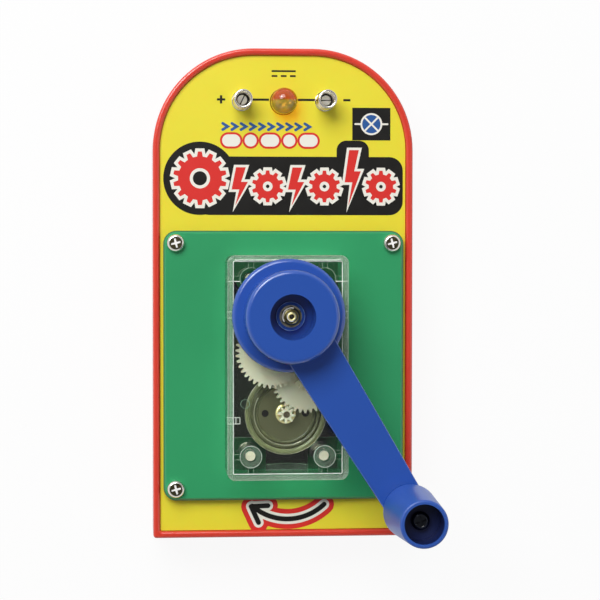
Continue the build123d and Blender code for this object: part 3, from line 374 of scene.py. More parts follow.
ownFinishes = {
    "gearbox_base": clearPlastic("clearBase", {
        "tone": (0.95, 0.97, 0.93), "drift": 0.02, "grain": 2000.0, "flow": 70.0, "gloss": 0.06,
        "glossDrift": 0.05, "relief": 0.1, "shade": (0.6, 0.62, 0.58)}),
    "crank_knob": mouldedPlastic("blueHandle", {
        "tone": (0.024, 0.092, 0.42), "drift": 0.1, "grain": 2400.0, "flow": 60.0, "gloss": 0.4,
        # painted shade: the inside of the handle's bore is coloured dark navy
        "glossDrift": 0.08, "relief": 0.05, "hollow": (35.53, -63.85, 6.6, 64.2, (0.005, 0.013, 0.085))}),
    # painted shade: the screw deep in the handle is coloured near black
    "knob_screw": metalSurface("shadedHandleScrew", {
        "tone": (0.06, 0.065, 0.08), "gloss": 0.14, "glossDrift": 0.08}),
    "crank_nut": metalSurface("hubNut", {
        "tone": (0.34, 0.31, 0.17), "drift": 0.3, "gloss": 0.16, "glossDrift": 0.08}),
    # painted light: the screw tips are a lighter, yellower copy of the screw steel
    "gearbox_screws": metalSurface("litScrewTips", {
        "tone": (0.92, 0.88, 0.7), "drift": 0.3, "flow": 700.0, "gloss": 0.55, "glossDrift": 0.2,
        "relief": 0.3}),
    "motor_shaft": metalSurface("motorSpindle", {
        "tone": (0.3, 0.25, 0.16), "flow": 700.0, "gloss": 0.3, "relief": 0.1}),
}
for part in frame["record"]["subparts"]:
    holder = nodes[part["node"]]
    holder.data.materials.clear()
    holder.data.materials.append(ownFinishes.get(part["node"], finishes[part["material_slot"]]))

inks = {
    "black": printedInk("blackInk", (0.007, 0.006, 0.005), 0.395),
    "white": printedInk("whiteInk", (0.88, 0.85, 0.76), 0.415),
    "red": printedInk("redInk", (0.72, 0.028, 0.022), 0.415),
    "blue": printedInk("blueInk", (0.022, 0.10, 0.33), 0.415),
}
hazeSheenTone, oliveFlow = (0.36, 0.50, 0.37), 160.0
# colours for painted highlights and painted shade, and for the haze of the clear walls
trims = {name: mouldedPlastic(name, {"relief": 0.05, **look}) for name, look in {
    # painted highlights: light lines along the clear gearbox's edges
    "edgeHighlight": {"tone": (0.86, 0.92, 0.85), "drift": 0.5, "flow": 300.0},
    "faintEdgeHighlight": {"tone": (0.36, 0.56, 0.40), "drift": 0.8, "flow": 300.0},
    "greyEdgeHighlight": {"tone": (0.62, 0.76, 0.64), "drift": 0.9, "flow": 420.0},
    "hazeSheenWall": {"tone": hazeSheenTone, "drift": 0.4, "flow": 180.0, "gloss": 0.35, "veil": 0.24},
    "hazeSheenBoss": {"tone": hazeSheenTone, "drift": 0.4, "flow": 180.0, "gloss": 0.35, "veil": 0.10},
    # painted light and painted shade for the motor face's rings
    "litOliveRing": {"tone": (0.175, 0.20, 0.085), "drift": 0.5, "flow": oliveFlow},
    "shadedOlive": {"tone": (0.105, 0.115, 0.050), "drift": 0.5, "flow": oliveFlow},
    # painted light for the hub boss's face and its edge
    "litBossBlue": {"tone": (0.05, 0.15, 0.55), "grain": 2400.0, "flow": 60.0, "gloss": 0.2, "glossDrift": 0.08},
    "bossEdgeHighlight": {"tone": (0.35, 0.55, 0.85), "drift": 0.6, "grain": 2400.0, "flow": 200.0, "gloss": 0.2,
                 "glossDrift": 0.08},
}.items()}
trims.update({name: metalSurface(name, look) for name, look in {
    # painted highlight: near white, for the stud domes, the screw crosses and the glints
    "whiteHighlight": {"tone": (0.98, 0.96, 0.93), "drift": 0.1, "gloss": 0.48, "relief": 0.04, "metal": 0.0},
    # painted shade: the dark reflection on the plate screws' heads
    "shadedScrewHead": {"tone": (0.16, 0.14, 0.07), "drift": 0.9, "flow": 900.0, "gloss": 0.3, "glossDrift": 0.2,
                 "relief": 0.2},
    "yellowBrass": {"tone": (0.95, 0.85, 0.42), "drift": 0.3, "flow": 600.0, "gloss": 0.42},
    "arcHighlight": {"tone": (0.80, 0.80, 0.58), "drift": 0.6, "flow": oliveFlow, "gloss": 0.3, "relief": 0.05},
}.items()})


# ---- outlines, in millimetres ----
def polar(x, y, radius, angle):
    return (x + radius * math.cos(angle), y + radius * math.sin(angle))


def circleLoop(x, y, radius, steps=64):
    return [polar(x, y, radius, math.tau * i / steps) for i in range(steps)]


def arcPath(x, y, radius, start, end, steps):  # angles in degrees
    return [polar(x, y, radius, math.radians(start + (end - start) * i / steps)) for i in range(steps + 1)]


def atLevel(path, level):
    return [(x, y, level) for x, y in path]


def boxLoop(left, low, right, high, corner=0.0):
    if not corner:
        return [(left, low), (right, low), (right, high), (left, high)]
    loop = []
    for x, y, start in ((right - corner, low + corner, -90), (right - corner, high - corner, 0),
                        (left + corner, high - corner, 90), (left + corner, low + corner, 180)):
        loop += arcPath(x, y, corner, start, start + 90, 8)
    return loop


def sideNormals(path, closed, sharpest=0.35):
    count = len(path)
    normals = []
    for i, here in enumerate(path):
        before = path[i - 1] if closed or i else None
        after = path[(i + 1) % count] if closed or i < count - 1 else None
        ways = [Vector(b) - Vector(a) for a, b in ((before, here), (here, after)) if a and b]
        sides = [Vector((w.y, -w.x)).normalized() for w in ways]
        middle = sum(sides, Vector((0, 0))).normalized()
        normals.append(middle / max(middle.dot(sides[0]), sharpest))
    return normals


def strokeLoop(path, width):  # the outline of a line with rounded ends
    half = width / 2
    normals = sideNormals(path, False)
    right = [tuple(Vector(p) + n * half) for p, n in zip(path, normals)]
    left = [tuple(Vector(p) - n * half) for p, n in zip(path, normals)]
    return right + capPoints(path[-1], normals[-1], half) + left[::-1] + capPoints(path[0], -normals[0], half)


def capPoints(centre, side, half, steps=8):
    start = math.atan2(side.y, side.x)
    return [polar(*centre, half, start + math.pi * i / steps) for i in range(1, steps)]


def grownLoop(loop, distance):
    return [tuple(Vector(p) + n * distance) for p, n in zip(loop, sideNormals(loop, True))]


def cogLoop(x, y, root, tip, teeth):
    return [polar(x, y, radius, math.tau * (i + share) / teeth + math.pi / 2) for i in range(teeth)
            for share, radius in ((-0.29, root), (-0.16, tip), (0.16, tip), (0.29, root))]


def boltLoop(x, low, high, half):
    tall = high - low
    return [(x + half * a, low + tall * b) for a, b in (
        (-0.55, 0.0), (1.0, 0.62), (0.18, 0.62), (0.75, 1.0), (-0.45, 1.0), (-1.0, 0.42), (-0.05, 0.42))]


def crossLoop(x, y, reach, arm, turn):
    corners = []
    for quarter in range(4):
        a = math.radians(turn + 90 * quarter)
        for out, side in ((reach, -arm), (reach, arm), (arm, arm)):
            corners.append((x + out * math.cos(a) - side * math.sin(a),
                            y + out * math.sin(a) + side * math.cos(a)))
    return corners


# ---- ways to make a piece ----
def nodeBox(node):
    return tuple(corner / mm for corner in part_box(node))


def middleOf(low, high):
    return (low.x + high.x) / 2, (low.y + high.y) / 2


def placePiece(name, mesh, material, body=None):
    piece = bpy.data.objects.new(name, mesh)
    bpy.context.scene.collection.objects.link(piece)
    mesh.name = name
    mesh.materials.clear()
    mesh.materials.append(material)
    if body:
        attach(piece, body)
    return piece


def curveMesh(name, paths, closed, **settings):  # the mesh of a filled or bevelled curve
    curve = bpy.data.curves.new(name, "CURVE")
    for key, value in settings.items():
        setattr(curve, key, value)
    for path in paths:
        spline = curve.splines.new("POLY")
        spline.points.add(len(path) - 1)
        spline.use_cyclic_u = closed
        for point, place in zip(spline.points, path):
            point.co = (*(value * mm for value in place), 1)
    holder = bpy.data.objects.new(name, curve)
    mesh = bpy.data.meshes.new_from_object(holder)
    bpy.data.objects.remove(holder)
    bpy.data.curves.remove(curve)
    return mesh


def flatPlate(name, shapes, level, material, thick=0.012, step=0.0):
    group = bmesh.new()
    for i, loops in enumerate(shapes):  # each shape is loops, and its later loops cut holes
        flat = curveMesh(name, [atLevel(loop, 0) for loop in loops], True, dimensions="2D", fill_mode="BOTH",
                         extrude=thick / 2 * mm)
        flat.transform(Matrix.Translation((0, 0, (level + step * i) * mm)))
        group.from_mesh(flat)
        bpy.data.meshes.remove(flat)
    bmesh.ops.remove_doubles(group, verts=group.verts, dist=1e-7)
    mesh = bpy.data.meshes.new(name)
    group.to_mesh(mesh)
    group.free()
    return placePiece(name, mesh, material, "case")


def beadPiece(name, thickness, material, closed, *paths, slot="clear_plastic", body="case"):
    mesh = curveMesh(name, paths, closed, dimensions="3D", bevel_depth=thickness * mm, bevel_resolution=2,
                     use_fill_caps=True)
    for face in mesh.polygons:
        face.use_smooth = True
    return placePiece(name, mesh, material, body)


def tubeFaces(rings, sides, capped=True):
    faces = []
    for i in range(rings - 1):
        for j in range(sides):
            k = (j + 1) % sides
            faces.append((i * sides + j, i * sides + k, (i + 1) * sides + k, (i + 1) * sides + j))
    if capped:
        faces += [tuple(range(sides))[::-1], tuple(range((rings - 1) * sides, rings * sides))]
    return faces


def meshPiece(name, points, faces, material, body=None):
    mesh = bpy.data.meshes.new(name)
    mesh.from_pydata(points, [], faces)
    mesh.validate()
    for face in mesh.polygons:
        face.use_smooth = True
    return placePiece(name, mesh, material, body)


def turnedPiece(name, profile, centre, material, body, steps=32, capped=True):
    points = [(x * mm, y * mm, height * mm) for radius, height in profile
              for x, y in circleLoop(*centre, radius, steps)]
    return meshPiece(name, points, tubeFaces(len(profile), steps, capped), material, body)


def flatRing(name, centre, inner, outer, level, material, body="case", steps=72, thick=0.05):
    corners = [(inner, level), (outer, level), (outer, level + thick), (inner, level + thick), (inner, level)]
    return turnedPiece(name, corners, centre, material, body, steps, False)


# ---- print on the card ----
cardTop = nodeBox("face_card")[1].z
inkStep = {"first": 0.007, "layer": 0.014, "shape": 0.0015}
inkNames = []


def inkShape(name, ink, layer, *shapes):
    level = cardTop + inkStep["first"] + inkStep["layer"] * layer
    flatPlate(name, shapes, level, inks[ink], step=inkStep["shape"])
    inkNames.append(name)


terminalMarks = {"line": 0.68, "row": 59.4, "left": (-9.7, -4.4), "right": (4.5, 10.1), "plus": -19.1,
                 "minus": 19.6, "plusSize": 2.5, "minusSize": 2.2}


def drawTerminalMarks(look):
    y, half = look["row"], look["line"] / 2
    inkShape("circuitLines", "black", 0, *[
        [boxLoop(start, y - half, end, y + half)] for start, end in (look["left"], look["right"])])
    x, reach = look["plus"], look["plusSize"] / 2
    inkShape("plusMark", "black", 0, [[
        (x - reach, y - half), (x - half, y - half), (x - half, y - reach), (x + half, y - reach),
        (x + half, y - half), (x + reach, y - half), (x + reach, y + half), (x + half, y + half),
        (x + half, y + reach), (x - half, y + reach), (x - half, y + half), (x - reach, y + half)]])
    x, reach = look["minus"], look["minusSize"] / 2
    inkShape("minusMark", "black", 0, [boxLoop(x - reach, y - half, x + reach, y + half)])


supplyMark = {"x": 0.1, "y": 67.4, "width": 7.4, "gap": 1.5, "line": 0.55, "dashes": 4.2}


def drawSupplyMark(look):  # one long line over three short ones
    x, y, half, up = look["x"], look["y"], look["line"] / 2, look["gap"] / 2
    left, right = x - look["width"] / 2, x + look["width"] / 2
    dash = look["width"] / look["dashes"]
    shapes = [[boxLoop(left, y + up - half, right, y + up + half)]]
    for start in (left, x - dash / 2, right - dash):
        shapes.append([boxLoop(start, y - up - half, start + dash, y - up + half)])
    inkShape("supplyMark", "black", 0, *shapes)


blueArrows = {"from": -18.6, "to": 9.4, "low": 49.9, "high": 52.4, "count": 10, "line": 0.85, "inset": 0.3,
              "point": 0.55}


def drawBlueArrows(look):
    step = (look["to"] - look["from"]) / look["count"]
    low, high, shapes = look["low"], look["high"], []
    for i in range(look["count"]):
        x = look["from"] + step * i
        path = [(x, high - look["inset"]), (x + step * look["point"], (low + high) / 2),
                (x, low + look["inset"])]
        shapes.append([strokeLoop(path, look["line"])])
    inkShape("blueArrows", "blue", 0, *shapes)


dotsAndBars = {"from": -18.8, "y": 46.9, "tall": 3.7, "bar": 5.6, "gap": 1.3, "edge": 0.65, "flat": 0.001}


def drawDotsAndBars(look):
    reds, whites = [], []
    x, half = look["from"], look["tall"] / 2
    for wide in (look["bar"], look["tall"], look["bar"], look["tall"], look["bar"]):
        loop = boxLoop(x, look["y"] - half, x + wide, look["y"] + half, half - look["flat"])
        reds.append([grownLoop(loop, look["edge"])])
        whites.append([loop])
        x += wide + look["gap"]
    inkShape("dotsAndBarsEdge", "red", 0, *reds)
    inkShape("dotsAndBars", "white", 1, *whites)


titleBand = {"low": 24.1, "high": 42.0, "left": -27.0, "right": 37.0, "edge": 0.95, "corner": 4.2,
             "bigCog": (-25.6, 35.3, 8.2, 14, 1.5, 3.6), "cogs": (-4.8, 12.7, 30.2),
             "cog": (32.9, 4.9, 10, 1.1, 2.3), "cogBacking": 3.0, "tower": (5.0, 6, 2.0, 3.0),
             "bolts": ((-13.4, 39.6), (3.95, 39.6), (21.45, 45.0)), "boltHalf": 2.5, "boltEdge": 0.8,
             "boltLow": 2.9, "boltDrop": 0.9}


def drawTitleBand(look):  # a band of cogs and sparks
    bigX, bigY, bigTip = look["bigCog"][:3]
    tallX, tallTop = look["bolts"][-1]
    half, sunk, above, corner = look["tower"]
    inkShape("titleBacking", "black", 0,
             [boxLoop(look["left"], look["low"], look["right"], look["high"], look["corner"])],
             [circleLoop(bigX, bigY, bigTip + look["cogBacking"], 96)],
             [boxLoop(tallX - half, look["high"] - sunk, tallX + half, tallTop + above, corner)])
    whites, reds = [], []
    row, *small = look["cog"]
    for x, y, tip, teeth, tooth, thick in [look["bigCog"]] + [(x, row, *small) for x in look["cogs"]]:
        root = tip - tooth
        cog = cogLoop(x, y, root, tip, teeth)
        whites.append([grownLoop(cog, look["edge"]), circleLoop(x, y, root - thick - look["edge"])])
        reds.append([cog, circleLoop(x, y, root - thick)])
    for x, top in look["bolts"]:
        bolt = boltLoop(x, look["low"] + look["boltLow"], top - look["boltDrop"], look["boltHalf"])
        whites.append([grownLoop(bolt, look["edge"] * look["boltEdge"])])
        reds.append([bolt])
    inkShape("titleEdges", "white", 2, *whites)
    inkShape("titleShapes", "red", 3, *reds)


lampPanel = {"left": 21.3, "low": 47.1, "right": 33.1, "high": 57.1, "ring": 3.1, "line": 0.55,
             "lead": (0.3, 1.9)}


def drawLampPanel(look):  # a black panel with the circuit sign for a lamp
    inkShape("lampPanel", "black", 0, [boxLoop(look["left"], look["low"], look["right"], look["high"])])
    x, y = (look["left"] + look["right"]) / 2, (look["low"] + look["high"]) / 2
    ring, line = look["ring"], look["line"]
    near, far = look["lead"]
    inkShape("lampPanelDisc", "blue", 1, [circleLoop(x, y, ring)])
    cross = (ring - line / 2) * math.sqrt(0.5)
    strokes = (((x - cross, y - cross), (x + cross, y + cross)),
               ((x - cross, y + cross), (x + cross, y - cross)),
               ((x - ring - far, y), (x - ring - near, y)), ((x + ring + near, y), (x + ring + far, y)))
    inkShape("lampPanelSign", "white", 2,
             [circleLoop(x, y, ring + line / 2), circleLoop(x, y, ring - line / 2)],
             *[[strokeLoop(list(stroke), line)] for stroke in strokes])


turningArrow = {"arc": (1.4, -53.0, 16.6, -47.0, -131.5, 40), "line": 1.5, "white": 0.85, "red": 1.5,
                "tip": (-9.9, -65.6), "legs": ((-4.7, -65.4), (-7.6, -70.6))}


def drawTurningArrow(look):
    arc = arcPath(*look["arc"])
    for layer, (name, ink, grow) in enumerate((
            ("arrowRed", "red", look["white"] + look["red"]), ("arrowWhite", "white", look["white"]),
            ("arrowBlack", "black", 0.0))):
        width = look["line"] + 2 * grow
        inkShape(name, ink, layer, [strokeLoop(arc, width)],
                 *[[strokeLoop([look["tip"], leg], width)] for leg in look["legs"]])


drawTerminalMarks(terminalMarks)
drawSupplyMark(supplyMark)
drawBlueArrows(blueArrows)
drawDotsAndBars(dotsAndBars)
drawTitleBand(titleBand)
drawLampPanel(lampPanel)
drawTurningArrow(turningArrow)
print("card printed:", len(inkNames), "pieces")


# ---- terminal springs ----
springLook = {"wire": 0.7, "turns": 6.5, "closed": 1.0, "steps": 56, "sides": 14, "rise": 0.74, "open": 0.55,
              "end": 0.6, "foot": 0.35}


def windSpring(name, node, look):  # a wire coil whose end turns lie closer than its middle ones
    low, high = nodeBox(node)
    wire = look["wire"] / 2
    radius = (high.x - low.x) / 2 - wire
    rings = int(look["turns"] * look["steps"]) + 1
    rises = []
    for i in range(rings):
        turn = i / look["steps"]
        end = min(turn, look["turns"] - turn) / look["closed"]
        share = 0 if end < look["end"] else min((end - look["end"]) / look["end"], 1)
        rises.append(look["rise"] + look["open"] * share)
    total = sum(rises)
    points, level, up = [], low.z + wire, Vector((0, 0, 1))
    for i in range(rings):
        angle = math.tau * i / look["steps"]
        out = Vector((math.cos(angle), math.sin(angle), 0))
        centre = Vector((*middleOf(low, high), level)) + out * radius
        for j in range(look["sides"]):
            turn = math.tau * j / look["sides"]
            points.append((centre + (out * math.cos(turn) + up * math.sin(turn)) * wire) * mm)
        level += (high.z - low.z - 2 * wire) * rises[i] / total
    piece = meshPiece(name, points, tubeFaces(rings, look["sides"]), finishes["spring_plate"])
    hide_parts(node)
    return piece


def bendAtFoot(piece):
    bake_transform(piece)


for label in ("plus", "minus"):
    coil = windSpring(label + "TerminalSpring", "spring_" + label, springLook)
    bendAtFoot(coil)
print("springs wound")


# ---- inside the lamp ----
lampLook = {"axis": 0.01, "post": 0.5, "postLow": 15.8, "postTop": 0.8, "postDrop": 0.3,
            "postAt": (1.27, -0.6), "cup": 1.15, "cupIn": 1.0, "cupLow": 18.6, "cupHigh": 19.5,
            "cupFoot": 0.35, "cupFloor": 18.85, "chip": 0.25, "chipLow": 18.86, "chipTop": 19.1,
            "chipAt": (-0.635, -0.4), "foot": (3.7, 0.6, 0.8)}


def fillLamp(look):  # the bowl that carries the chip, the second post, and a yellow disc at the foot of the lens, painted light so its base does not look dark
    low, high = nodeBox("lamp_lens")
    x, y = middleOf(low, high)
    axis, post, postLow = look["axis"], look["post"], look["postLow"]
    cupLow, cupHigh, floor = look["cupLow"], look["cupHigh"], look["cupFloor"]
    chip, chipLow, chipTop = look["chip"], look["chipLow"], look["chipTop"]
    postAt, chipAt = [(x + dx, y + dy) for dx, dy in (look["postAt"], look["chipAt"])]
    wide, footLow, footHigh = look["foot"][0], low.z + look["foot"][1], low.z + look["foot"][2]
    for name, profile, centre, material, steps in (
            ("lampBowl", [
                (axis, postLow), (post, postLow), (post, cupLow), (look["cup"], cupHigh),
                (look["cupIn"], cupHigh), (look["cupFoot"], floor), (axis, floor)],
             chipAt, "tinned_wire", 32),
            ("lampPost", [
                (axis, postLow), (post, postLow), (post, cupHigh - look["postDrop"]),
                (look["postTop"], cupHigh), (axis, cupHigh)],
             postAt, "tinned_wire", 32),
            ("lampChip", [
                (axis, chipLow), (chip, chipLow), (chip, chipTop), (axis, chipTop)], chipAt, "brass", 8),
            ("lampFoot", [
                (axis, footLow), (wide, footLow), (wide, footHigh), (axis, footHigh)],
             (x, y), "yellow_card", 48)):
        turnedPiece(name, profile, centre, finishes[material], "case", steps)


fillLamp(lampLook)
print("lamp filled")


# ---- domed ends of the terminal studs: near white as painted highlight, in black rings of painted shade ----
studLook = {"radius": 1.5, "base": 0.12, "rise": 0.6, "rows": 7, "sides": 40, "slot": 0.34, "turns": (64, 2),
            "shadeRing": (0.02, 2.02, -0.1, -0.6, 0.02, 0.05)}


def halfDome(side, look):  # a dome cut along its slot
    half, base, sides = bmesh.new(), look["base"], look["sides"]
    rings = [(look["radius"], 0.0), (look["radius"], base)] + [
        (look["radius"] * math.cos(a), base + look["rise"] * math.sin(a))
        for a in (math.pi / 2 * i / look["rows"] for i in range(1, look["rows"]))]
    rows = [[half.verts.new((x, y, z)) for x, y in circleLoop(0, 0, r, sides)] for r, z in rings]
    for lower, upper in zip(rows, rows[1:]):
        for j in range(sides):
            k = (j + 1) % sides
            half.faces.new((lower[j], lower[k], upper[k], upper[j]))
    half.faces.new(rows[0][::-1])
    half.faces.new(rows[-1])
    cut = bmesh.ops.bisect_plane(
        half, geom=half.verts[:] + half.edges[:] + half.faces[:], plane_co=(0, side * look["slot"] / 2, 0),
        plane_no=(0, -side, 0), clear_outer=True)
    bmesh.ops.contextual_create(half, geom=[e for e in cut["geom_cut"] if isinstance(e, bmesh.types.BMEdge)])
    mesh = bpy.data.meshes.new("half")
    half.to_mesh(mesh)
    half.free()
    return mesh


def domeStud(name, centre, level, look, turn):  # two halves of a dome, either side of the slot
    shape = bmesh.new()
    for side in (-1, 1):
        mesh = halfDome(side, look)
        shape.from_mesh(mesh)
        bpy.data.meshes.remove(mesh)
    for face in shape.faces:
        face.smooth = True
    shape.transform(Matrix.Translation(Vector((*centre, level)) * mm) @ Matrix.Rotation(
        math.radians(turn), 4, "Z") @ Matrix.Scale(mm, 4))
    mesh = bpy.data.meshes.new(name)
    shape.to_mesh(mesh)
    shape.free()
    placePiece(name, mesh, trims["whiteHighlight"], "case")


def dressStuds(look):
    low, high = nodeBox("terminal_studs")
    y, reach = (low.y + high.y) / 2, (high.y - low.y) / 2
    gap, outer, *rises = look["shadeRing"]
    inner = look["radius"] + gap
    plusTurn, minusTurn = look["turns"]
    for label, x, turn in (("plus", low.x + reach, plusTurn), ("minus", high.x - reach, minusTurn)):
        domeStud(label + "StudDome", (x, y), high.z, look, turn)
        profile = [(radius, high.z + rise) for radius, rise in zip((inner, outer, outer, inner), rises)]
        turnedPiece(label + "StudShoulder", profile, (x, y), inks["black"], "case", 40)


dressStuds(studLook)
print("studs domed")


# ---- cross-head screws of the plate: painted shade on the heads, painted highlights in the crosses ----
crossLook = {"head": 2.65, "face": 1.95, "reach": 1.5, "arm": 0.36, "turn": 12, "gap": (0.05, 0.04),
             "faceLift": 0.01, "crossDrop": 0.08}


def dressScrews(look):
    low, high = nodeBox("plate_screws")
    places = [(x, y) for x in (low.x + look["head"], high.x - look["head"])
              for y in (low.y + look["head"], high.y - look["head"])]
    reach, arm, turn = look["reach"], look["arm"], look["turn"]
    faces = [[circleLoop(x, y, look["face"], 40), crossLoop(x, y, reach, arm, turn)] for x, y in places]
    crosses = [[crossLoop(x, y, reach - look["gap"][0], arm - look["gap"][1], turn)] for x, y in places]
    flatPlate("screwFaces", faces, high.z + look["faceLift"], trims["shadedScrewHead"])
    flatPlate("screwCrosses", crosses, high.z - look["crossDrop"], trims["whiteHighlight"])


dressScrews(crossLook)
print("screws dressed")


# ---- painted highlights along the edges of the clear gearbox ----
coverLow, coverHigh = nodeBox("gearbox_cover")
edgeGlintLook = {
    "wall": 1.75, "level": 31.15, "inset": 0.1, "corner": 0.3, "bead": 0.14,
    "outer": {"inset": 0.2, "corner": 2.2, "drop": 0.75, "bead": 0.07},
    "boss": {"in": 5.35, "end": 5.25, "radius": 3.25, "bead": 0.075},
    "rib": {"half": 0.8, "from": 3.3, "past": 1.5, "bead": 0.05, "upper": 0.12},
    "glint": {"short": 0.5, "up": 0.25, "lift": 0.1, "bead": 0.3},
    "tab": {"rows": (-37.6, -6.0), "half": 0.95, "in": 14.3, "hook": 1.2, "past": 1.5, "level": 30.25,
            "bead": 0.1},
    "peg": {"at": (-12.37, -33.1), "radius": 1.35, "level": 25.0, "bead": 0.06},
    "well": {"y": -43.85, "in": 9.6, "short": 0.2, "level": 19.1, "bead": 0.06},
    "ledge": {"left": -5.6, "right": 7.5, "low": -54.3, "high": -47.2, "bow": (13.0, -52.4, 0.5, 12),
              "level": 18.15, "bead": 0.08}}
hazeLook = {"wall": 1.6, "inset": 0.25, "corner": 2.2, "innerCorner": 0.3, "drop": 1.2, "thick": 0.04,
            "boss": (3.2, 1.55), "bossDrop": 0.1}


def coverBox(inset, corner):
    return boxLoop(coverLow.x + inset, coverLow.y + inset, coverHigh.x - inset, coverHigh.y - inset, corner)


def insideWalls(look):  # half the width inside the walls, and the inside's low and high end
    return coverHigh.x - look["wall"], coverLow.y + look["wall"], coverHigh.y - look["wall"]


def bossPlaces(look):  # centres of the screw bosses, lower and upper, left then right
    half, low, high = insideWalls(look)
    x, end = half - look["boss"]["in"], look["boss"]["end"]
    return [(side * x, y) for side in (-1, 1) for y in (low + end, high - end)]


# painted highlight lines on the cover's inner and outer top edges
def lightOutlines(look):
    inner = coverBox(look["wall"] + look["inset"], look["corner"])
    beadPiece("coverInnerEdge", look["bead"], trims["edgeHighlight"], True, atLevel(inner, look["level"]))
    rim = look["outer"]
    outer = atLevel(coverBox(rim["inset"], rim["corner"]), coverHigh.z - rim["drop"])
    beadPiece("coverOuterEdge", rim["bead"], trims["faintEdgeHighlight"], True, outer)


# painted highlight lines round the screw bosses and along the ribs, and a glint on the top wall
def lightBosses(look):
    half, low, high = insideWalls(look)
    level, rib = look["level"], look["rib"]
    bosses = bossPlaces(look)
    for name, material, places in (("bossEdges", "greyEdgeHighlight", bosses[::2]),
                                   ("upperBossEdges", "faintEdgeHighlight", bosses[1::2])):
        rings = [atLevel(circleLoop(x, y, look["boss"]["radius"], 48), level) for x, y in places]
        beadPiece(name, look["boss"]["bead"], trims[material], True, *rings)
    faint, bright = [], []
    for x, y in bosses:
        side, upper = (1 if x > 0 else -1), y > low / 2
        for off in (-rib["half"], rib["half"]):
            lit = upper and off < 0
            end = half + rib["past"] if lit else half
            across = [(x + side * rib["from"], y + off), (side * end, y + off)]
            (bright if lit else faint).append(atLevel(across, level))
            faint.append(atLevel([(x + off, y + (rib["from"] if upper else -rib["from"])),
                                  (x + off, high if upper else low)], level))
    beadPiece("ribEdges", rib["bead"], trims["faintEdgeHighlight"], False, *faint)
    beadPiece("upperRibEdges", rib["upper"], trims["edgeHighlight"], False, *bright)
    glint = look["glint"]
    reach, y = half - glint["short"], high + glint["up"]
    beadPiece("topWallGlint", glint["bead"], trims["edgeHighlight"], False,
              atLevel([(-half + glint["short"], y), (reach, y)], level + glint["lift"]))


def lightTabs(look):  # painted highlight lines on the snap hooks in the side walls
    tab, half = look["tab"], coverHigh.x - look["wall"]
    near, hook, far = tab["in"], tab["in"] + tab["hook"], half + tab["past"]
    lines = []
    for y in tab["rows"]:
        for side in (-1, 1):
            a, b = y - tab["half"], y + tab["half"]
            for line in (((near, a), (far, a)), ((near, b), (far, b)), ((near, a), (near, b)),
                         ((hook, a), (hook, b))):
                lines.append(atLevel([(side * out, along) for out, along in line], tab["level"]))
    beadPiece("tabEdges", tab["bead"], trims["edgeHighlight"], False, *lines)


def lightInside(look):  # painted highlight lines on the peg, the well's edge and the ledge below the motor
    pale, peg, well, ledge = trims["faintEdgeHighlight"], look["peg"], look["well"], look["ledge"]
    circle = atLevel(circleLoop(*peg["at"], peg["radius"], 48), peg["level"])
    beadPiece("pegEdge", peg["bead"], pale, True, circle)
    half, y = coverHigh.x - look["wall"], well["y"]
    beadPiece("wellEdge", well["bead"], pale, False,
              atLevel([(-half + well["short"], y), (-well["in"], y)], well["level"]),
              atLevel([(well["in"], y), (half - well["short"], y)], well["level"]))
    wide, y, rise, steps = ledge["bow"]
    bow = [(ledge["left"] + wide * i / steps, y + rise * math.sin(math.pi * i / steps))
           for i in range(steps + 1)]
    left, right, low, high = ledge["left"], ledge["right"], ledge["low"], ledge["high"]
    paths = (bow, [(right, high), (right, low)], [(left, low), (right, low)])
    beadPiece("ledgeEdges", ledge["bead"], pale, False, *[atLevel(path, ledge["level"]) for path in paths])


def hazeWalls(look):  # the cloudiness seen down the length of the walls and the screw bosses: partly the plastic's own haze, partly painted light
    outer = coverBox(look["inset"], look["corner"])
    inner = coverBox(look["wall"], look["innerCorner"])
    flatPlate("wallHaze", [[outer, inner]], coverHigh.z - look["drop"], trims["hazeSheenWall"],
              look["thick"])
    ends = [[circleLoop(x, y, radius) for radius in look["boss"]] for x, y in bossPlaces(edgeGlintLook)[::2]]
    flatPlate("bossHaze", ends, edgeGlintLook["level"] - look["bossDrop"], trims["hazeSheenBoss"],
              look["thick"])


for light in (lightOutlines, lightBosses, lightTabs, lightInside):
    light(edgeGlintLook)
hazeWalls(hazeLook)
print("gearbox edges lit")


# ---- motor face, with painted light, painted shade and painted glints ----
faceLook = {"centre": (0.0, -36.2), "rings": (
    # painted light on the lip's ring; painted shade on the step and the rim
    ("motorRing", 10.9, 12.35, 23.6, "litOliveRing", "clear_plastic"),
    ("motorBossRing", 1.7, 3.05, 23.4, "yellowBrass", "bronze"),
    ("motorStep", 9.5, 10.85, 23.5, "shadedOlive", "clear_plastic"),
    ("motorRim", 8.25, 9.4, 22.66, "shadedOlive", "motor_steel")),
    "vents": (6.15, 1.08, 22.68), "glint": (9.6, 150, 300, 40), "glintLevel": 23.5, "glintBead": 0.13,
    "arcs": ((10.9, 23.55, 0.06), (12.35, 23.6, 0.06))}


def dressMotor(look):
    x, y = look["centre"]
    for name, inner, outer, level, material, slot in look["rings"]:
        flatRing(name, (x, y), inner, outer, level, trims[material])
    # painted shade: black discs stand for the dark inside the vent holes
    out, radius, level = look["vents"]
    vents = [[circleLoop(x + side * out, y, radius)] for side in (-1, 1)]
    flatPlate("motorVents", vents, level, inks["black"])
    # painted highlights: a glint arc and two bright rings on the motor face
    bright = trims["arcHighlight"]
    glint = atLevel(arcPath(x, y, *look["glint"]), look["glintLevel"])
    beadPiece("motorGlint", look["glintBead"], bright, False, glint, slot="motor_steel")
    for i, (radius, level, thick) in enumerate(look["arcs"]):
        beadPiece("motorArc" + str(i + 1), thick, bright, True, atLevel(circleLoop(x, y, radius, 72), level),
                  slot="motor_steel")


dressMotor(faceLook)


